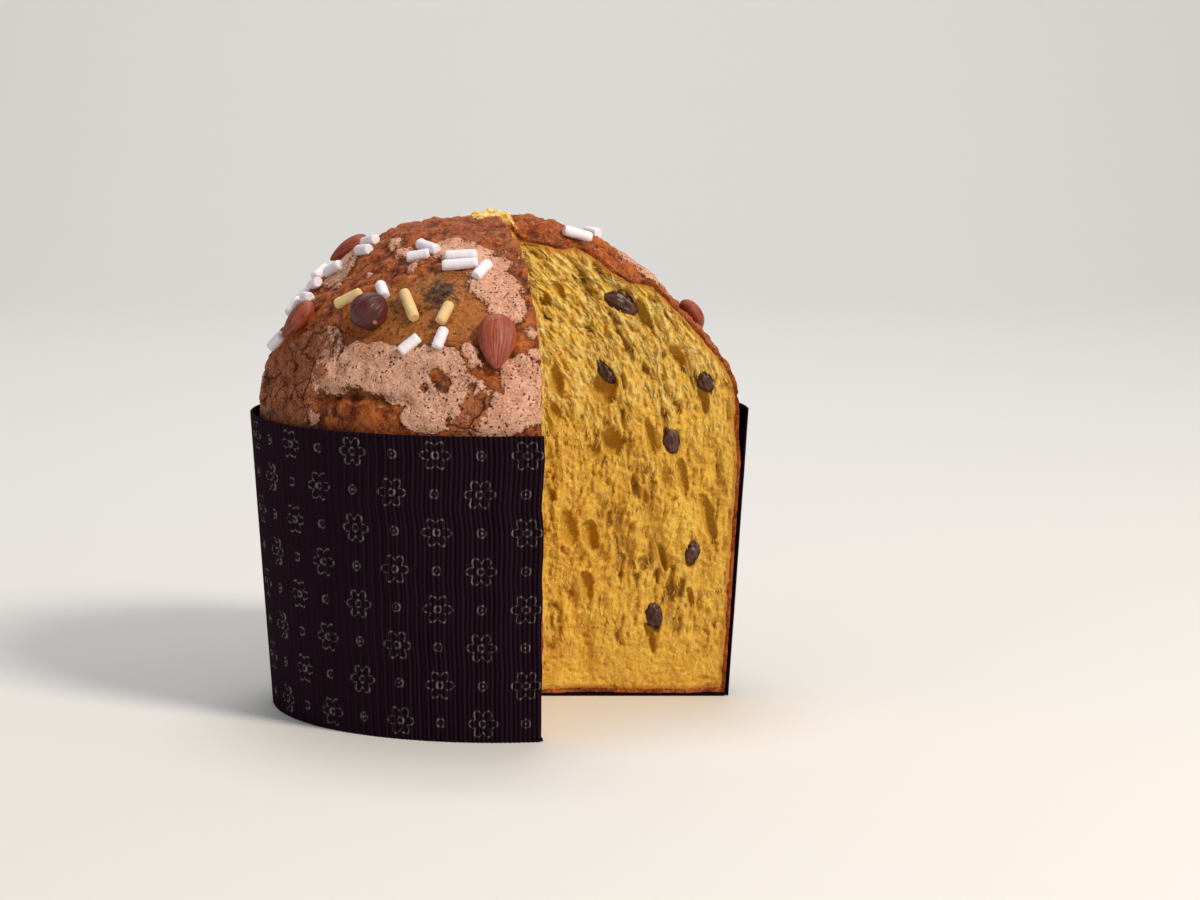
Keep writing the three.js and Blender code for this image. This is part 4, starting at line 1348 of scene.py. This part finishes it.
def flute_tree(node):
    """Bends a flat grid into the mould's wall and presses upright flutes into it"""
    inputs = {"Size X": 1.0, "Size Y": 1.0, "Vertices X": "Columns", "Vertices Y": "Rows"}
    grid = node("GeometryNodeMeshGrid", inputs, out="Mesh")
    place = node("SPLIT", node("GeometryNodeInputPosition")).node
    share, rise = (node("ADD", place.outputs[axis], 0.5) for axis in "XY")
    phase = node("MULTIPLY", node("MULTIPLY", share, "Flutes"), 2 * math.pi)
    uneven = node("JOIN", node("MULTIPLY", share, 90.0), rise, "Seed")
    waver = node("JOIN", 0.0, node("MULTIPLY", rise, 7.0), "Seed")
    uneven, waver = (
        node("NOISE", {"Vector": where, "Scale": 1.0, "Detail": 2.0}, out="Fac") for where in (uneven, waver)
    )
    deep = node("RANGE", uneven, 0.3, 0.7, 0.55, 1.0)
    ripple = node("MULTIPLY", node("MULTIPLY", flute_wave(node, phase), deep), "Flute depth")
    slope = node("SUBTRACT", "Rim radius", "Base radius")
    radius = node("ADD", node("MULTIPLY_ADD", slope, rise, "Base radius"), ripple)
    angle = node("MULTIPLY_ADD", "Sweep", share, "Start")
    angle = node("ADD", angle, node("RANGE", waver, 0.2, 0.8, -0.011, 0.011))
    across, back = (node("MULTIPLY", radius, node(way, angle)) for way in ("COSINE", "SINE"))
    height = node("MULTIPLY", rise, "Height")
    flat = node("JOIN", node("MULTIPLY", share, "Length"), height, 0.0)
    inputs = {"Geometry": grid, "Name": "sheet", "Value": flat}
    grid = node("GeometryNodeStoreNamedAttribute", inputs, data_type="FLOAT_VECTOR", domain="POINT")
    wall = node("BEND", {"Geometry": grid, "Position": node("JOIN", across, back, height)})
    return node("GeometryNodeRealizeInstances", wall)


def paper_wall():
    material = fluted_paper()
    flutes = round(SWEEP * MEAN_RADIUS / FLUTE_PITCH)
    values = {
        "Base radius": (CASE_BASE_RADIUS - PAPER / 2) * MM, "Rim radius": (CASE_RIM_RADIUS - PAPER / 2) * MM,
        "Height": CASE_HEIGHT * MM, "Start": PAPER_BACK / MEAN_RADIUS,
        "Sweep": SWEEP - 2 * PAPER_BACK / MEAN_RADIUS, "Flutes": flutes, "Flute depth": FLUTE_DEPTH * MM,
        "Columns": flutes * COLUMNS_PER_FLUTE + 1, "Rows": WALL_ROWS, "Length": SWEEP * MEAN_RADIUS * MM,
        "Seed": 4.0, "Material": material,
    }
    thicken = ("SOLIDIFY", {"thickness": SHEET * MM, "offset": 0.0})
    mesh = run_tree("paper wall", bpy.data.meshes.new("paper wall"), flute_tree, values, thicken)
    if signed_volume(mesh) < 0:
        mesh.flip_normals()
    finish_piece("paper_wall", mesh, [material], ["case_wall"], sharp=70)
    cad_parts["case_base"].material_slots[0].material = plain_paper()


crust_material = baked_crust()
crumb_material = yellow_crumb()
cut_crust([crust_material, crumb_material])
for cut_name in CUTS:
    crumb_face(cut_name, crumb_material)
crumb_strands(crumb_material)
nuts_and_raisins()
pearl_sugar()
paper_wall()


# The floor, light and camera

FLOOR_FRONT = -2.5
FLOOR_DEPTH = 2.0
FLOOR_WIDTH = 8.0
BEND_RADIUS = 1.4
BEND_STEPS = 12
WALL_HEIGHT = 3.4
LOAF_MIDDLE = (0, 0, 0.09)
WALL_MIDDLE = (0, 3.2, 0.6)
# Lights: name, place, where it points, size, power and colour
LIGHTS = [
    ("key", (1.05, -0.95, 1.25), LOAF_MIDDLE, 0.45, 26, "#FFF4E6"),
    ("fill", (-1.4, -1.1, 0.7), LOAF_MIDDLE, 1.4, 3, "#E6EEFF"),
    ("top", (-0.1, 0.5, 1.6), LOAF_MIDDLE, 0.9, 6, "#FFFFFF"),
    ("wall", (0, 1.3, 2.4), WALL_MIDDLE, 1.2, 30, "#FFFFFF"),
]


def studio():
    """A pale floor that turns up into a pale wall, with soft light from the upper right"""
    turn = [(math.pi / 2) * n / BEND_STEPS for n in range(BEND_STEPS + 1)]
    bend = [(FLOOR_DEPTH + BEND_RADIUS * math.sin(t), BEND_RADIUS * (1 - math.cos(t))) for t in turn]
    profile = [(FLOOR_FRONT, 0.0), *bend, (FLOOR_DEPTH + BEND_RADIUS, WALL_HEIGHT)]
    points = [(x, y, z) for y, z in profile for x in (-FLOOR_WIDTH, FLOOR_WIDTH)]
    faces = [(2 * n, 2 * n + 1, 2 * n + 3, 2 * n + 2) for n in range(len(profile) - 1)]
    mesh = bpy.data.meshes.new("sweep")
    mesh.from_pydata(points, [], faces)
    mesh.shade_smooth()
    material, node = start_material("pale floor")
    mesh.materials.append(end_material(material, node, {"Base Color": paint("#E9E7E3"), "Roughness": 0.9}))
    show("floor", mesh)

    for name, place, aim, size, power, colour in LIGHTS:
        data = bpy.data.lights.new(name, "AREA")
        data.shape, data.size, data.energy, data.color = "DISK", size, power, paint(colour)[:3]
        light = show(name, data)
        light.location = place
        light.rotation_euler = (Vector(aim) - Vector(place)).to_track_quat("-Z", "Y").to_euler()
    bpy.context.scene.view_settings.view_transform = "Standard"
    world = bpy.data.worlds.new("studio")
    world.use_nodes = True
    background = world.node_tree.nodes["Background"].inputs
    background["Color"].default_value = paint("#F2F4F8")
    background["Strength"].default_value = 0.3
    bpy.context.scene.world = world


CAMERA_PLACE = (0.0369, -1.180, 0.2334)
CAMERA_PITCH = 6.81
CAMERA_FOCUS_MM = 96.27
SENSOR_MM = 36


def camera():
    data = bpy.data.cameras.new("camera")
    data.lens = CAMERA_FOCUS_MM
    data.sensor_width = SENSOR_MM
    made = show("camera", data)
    made.location = CAMERA_PLACE
    made.rotation_euler = (math.radians(90 - CAMERA_PITCH), 0, 0)
    bpy.context.scene.camera = made


studio()
camera()
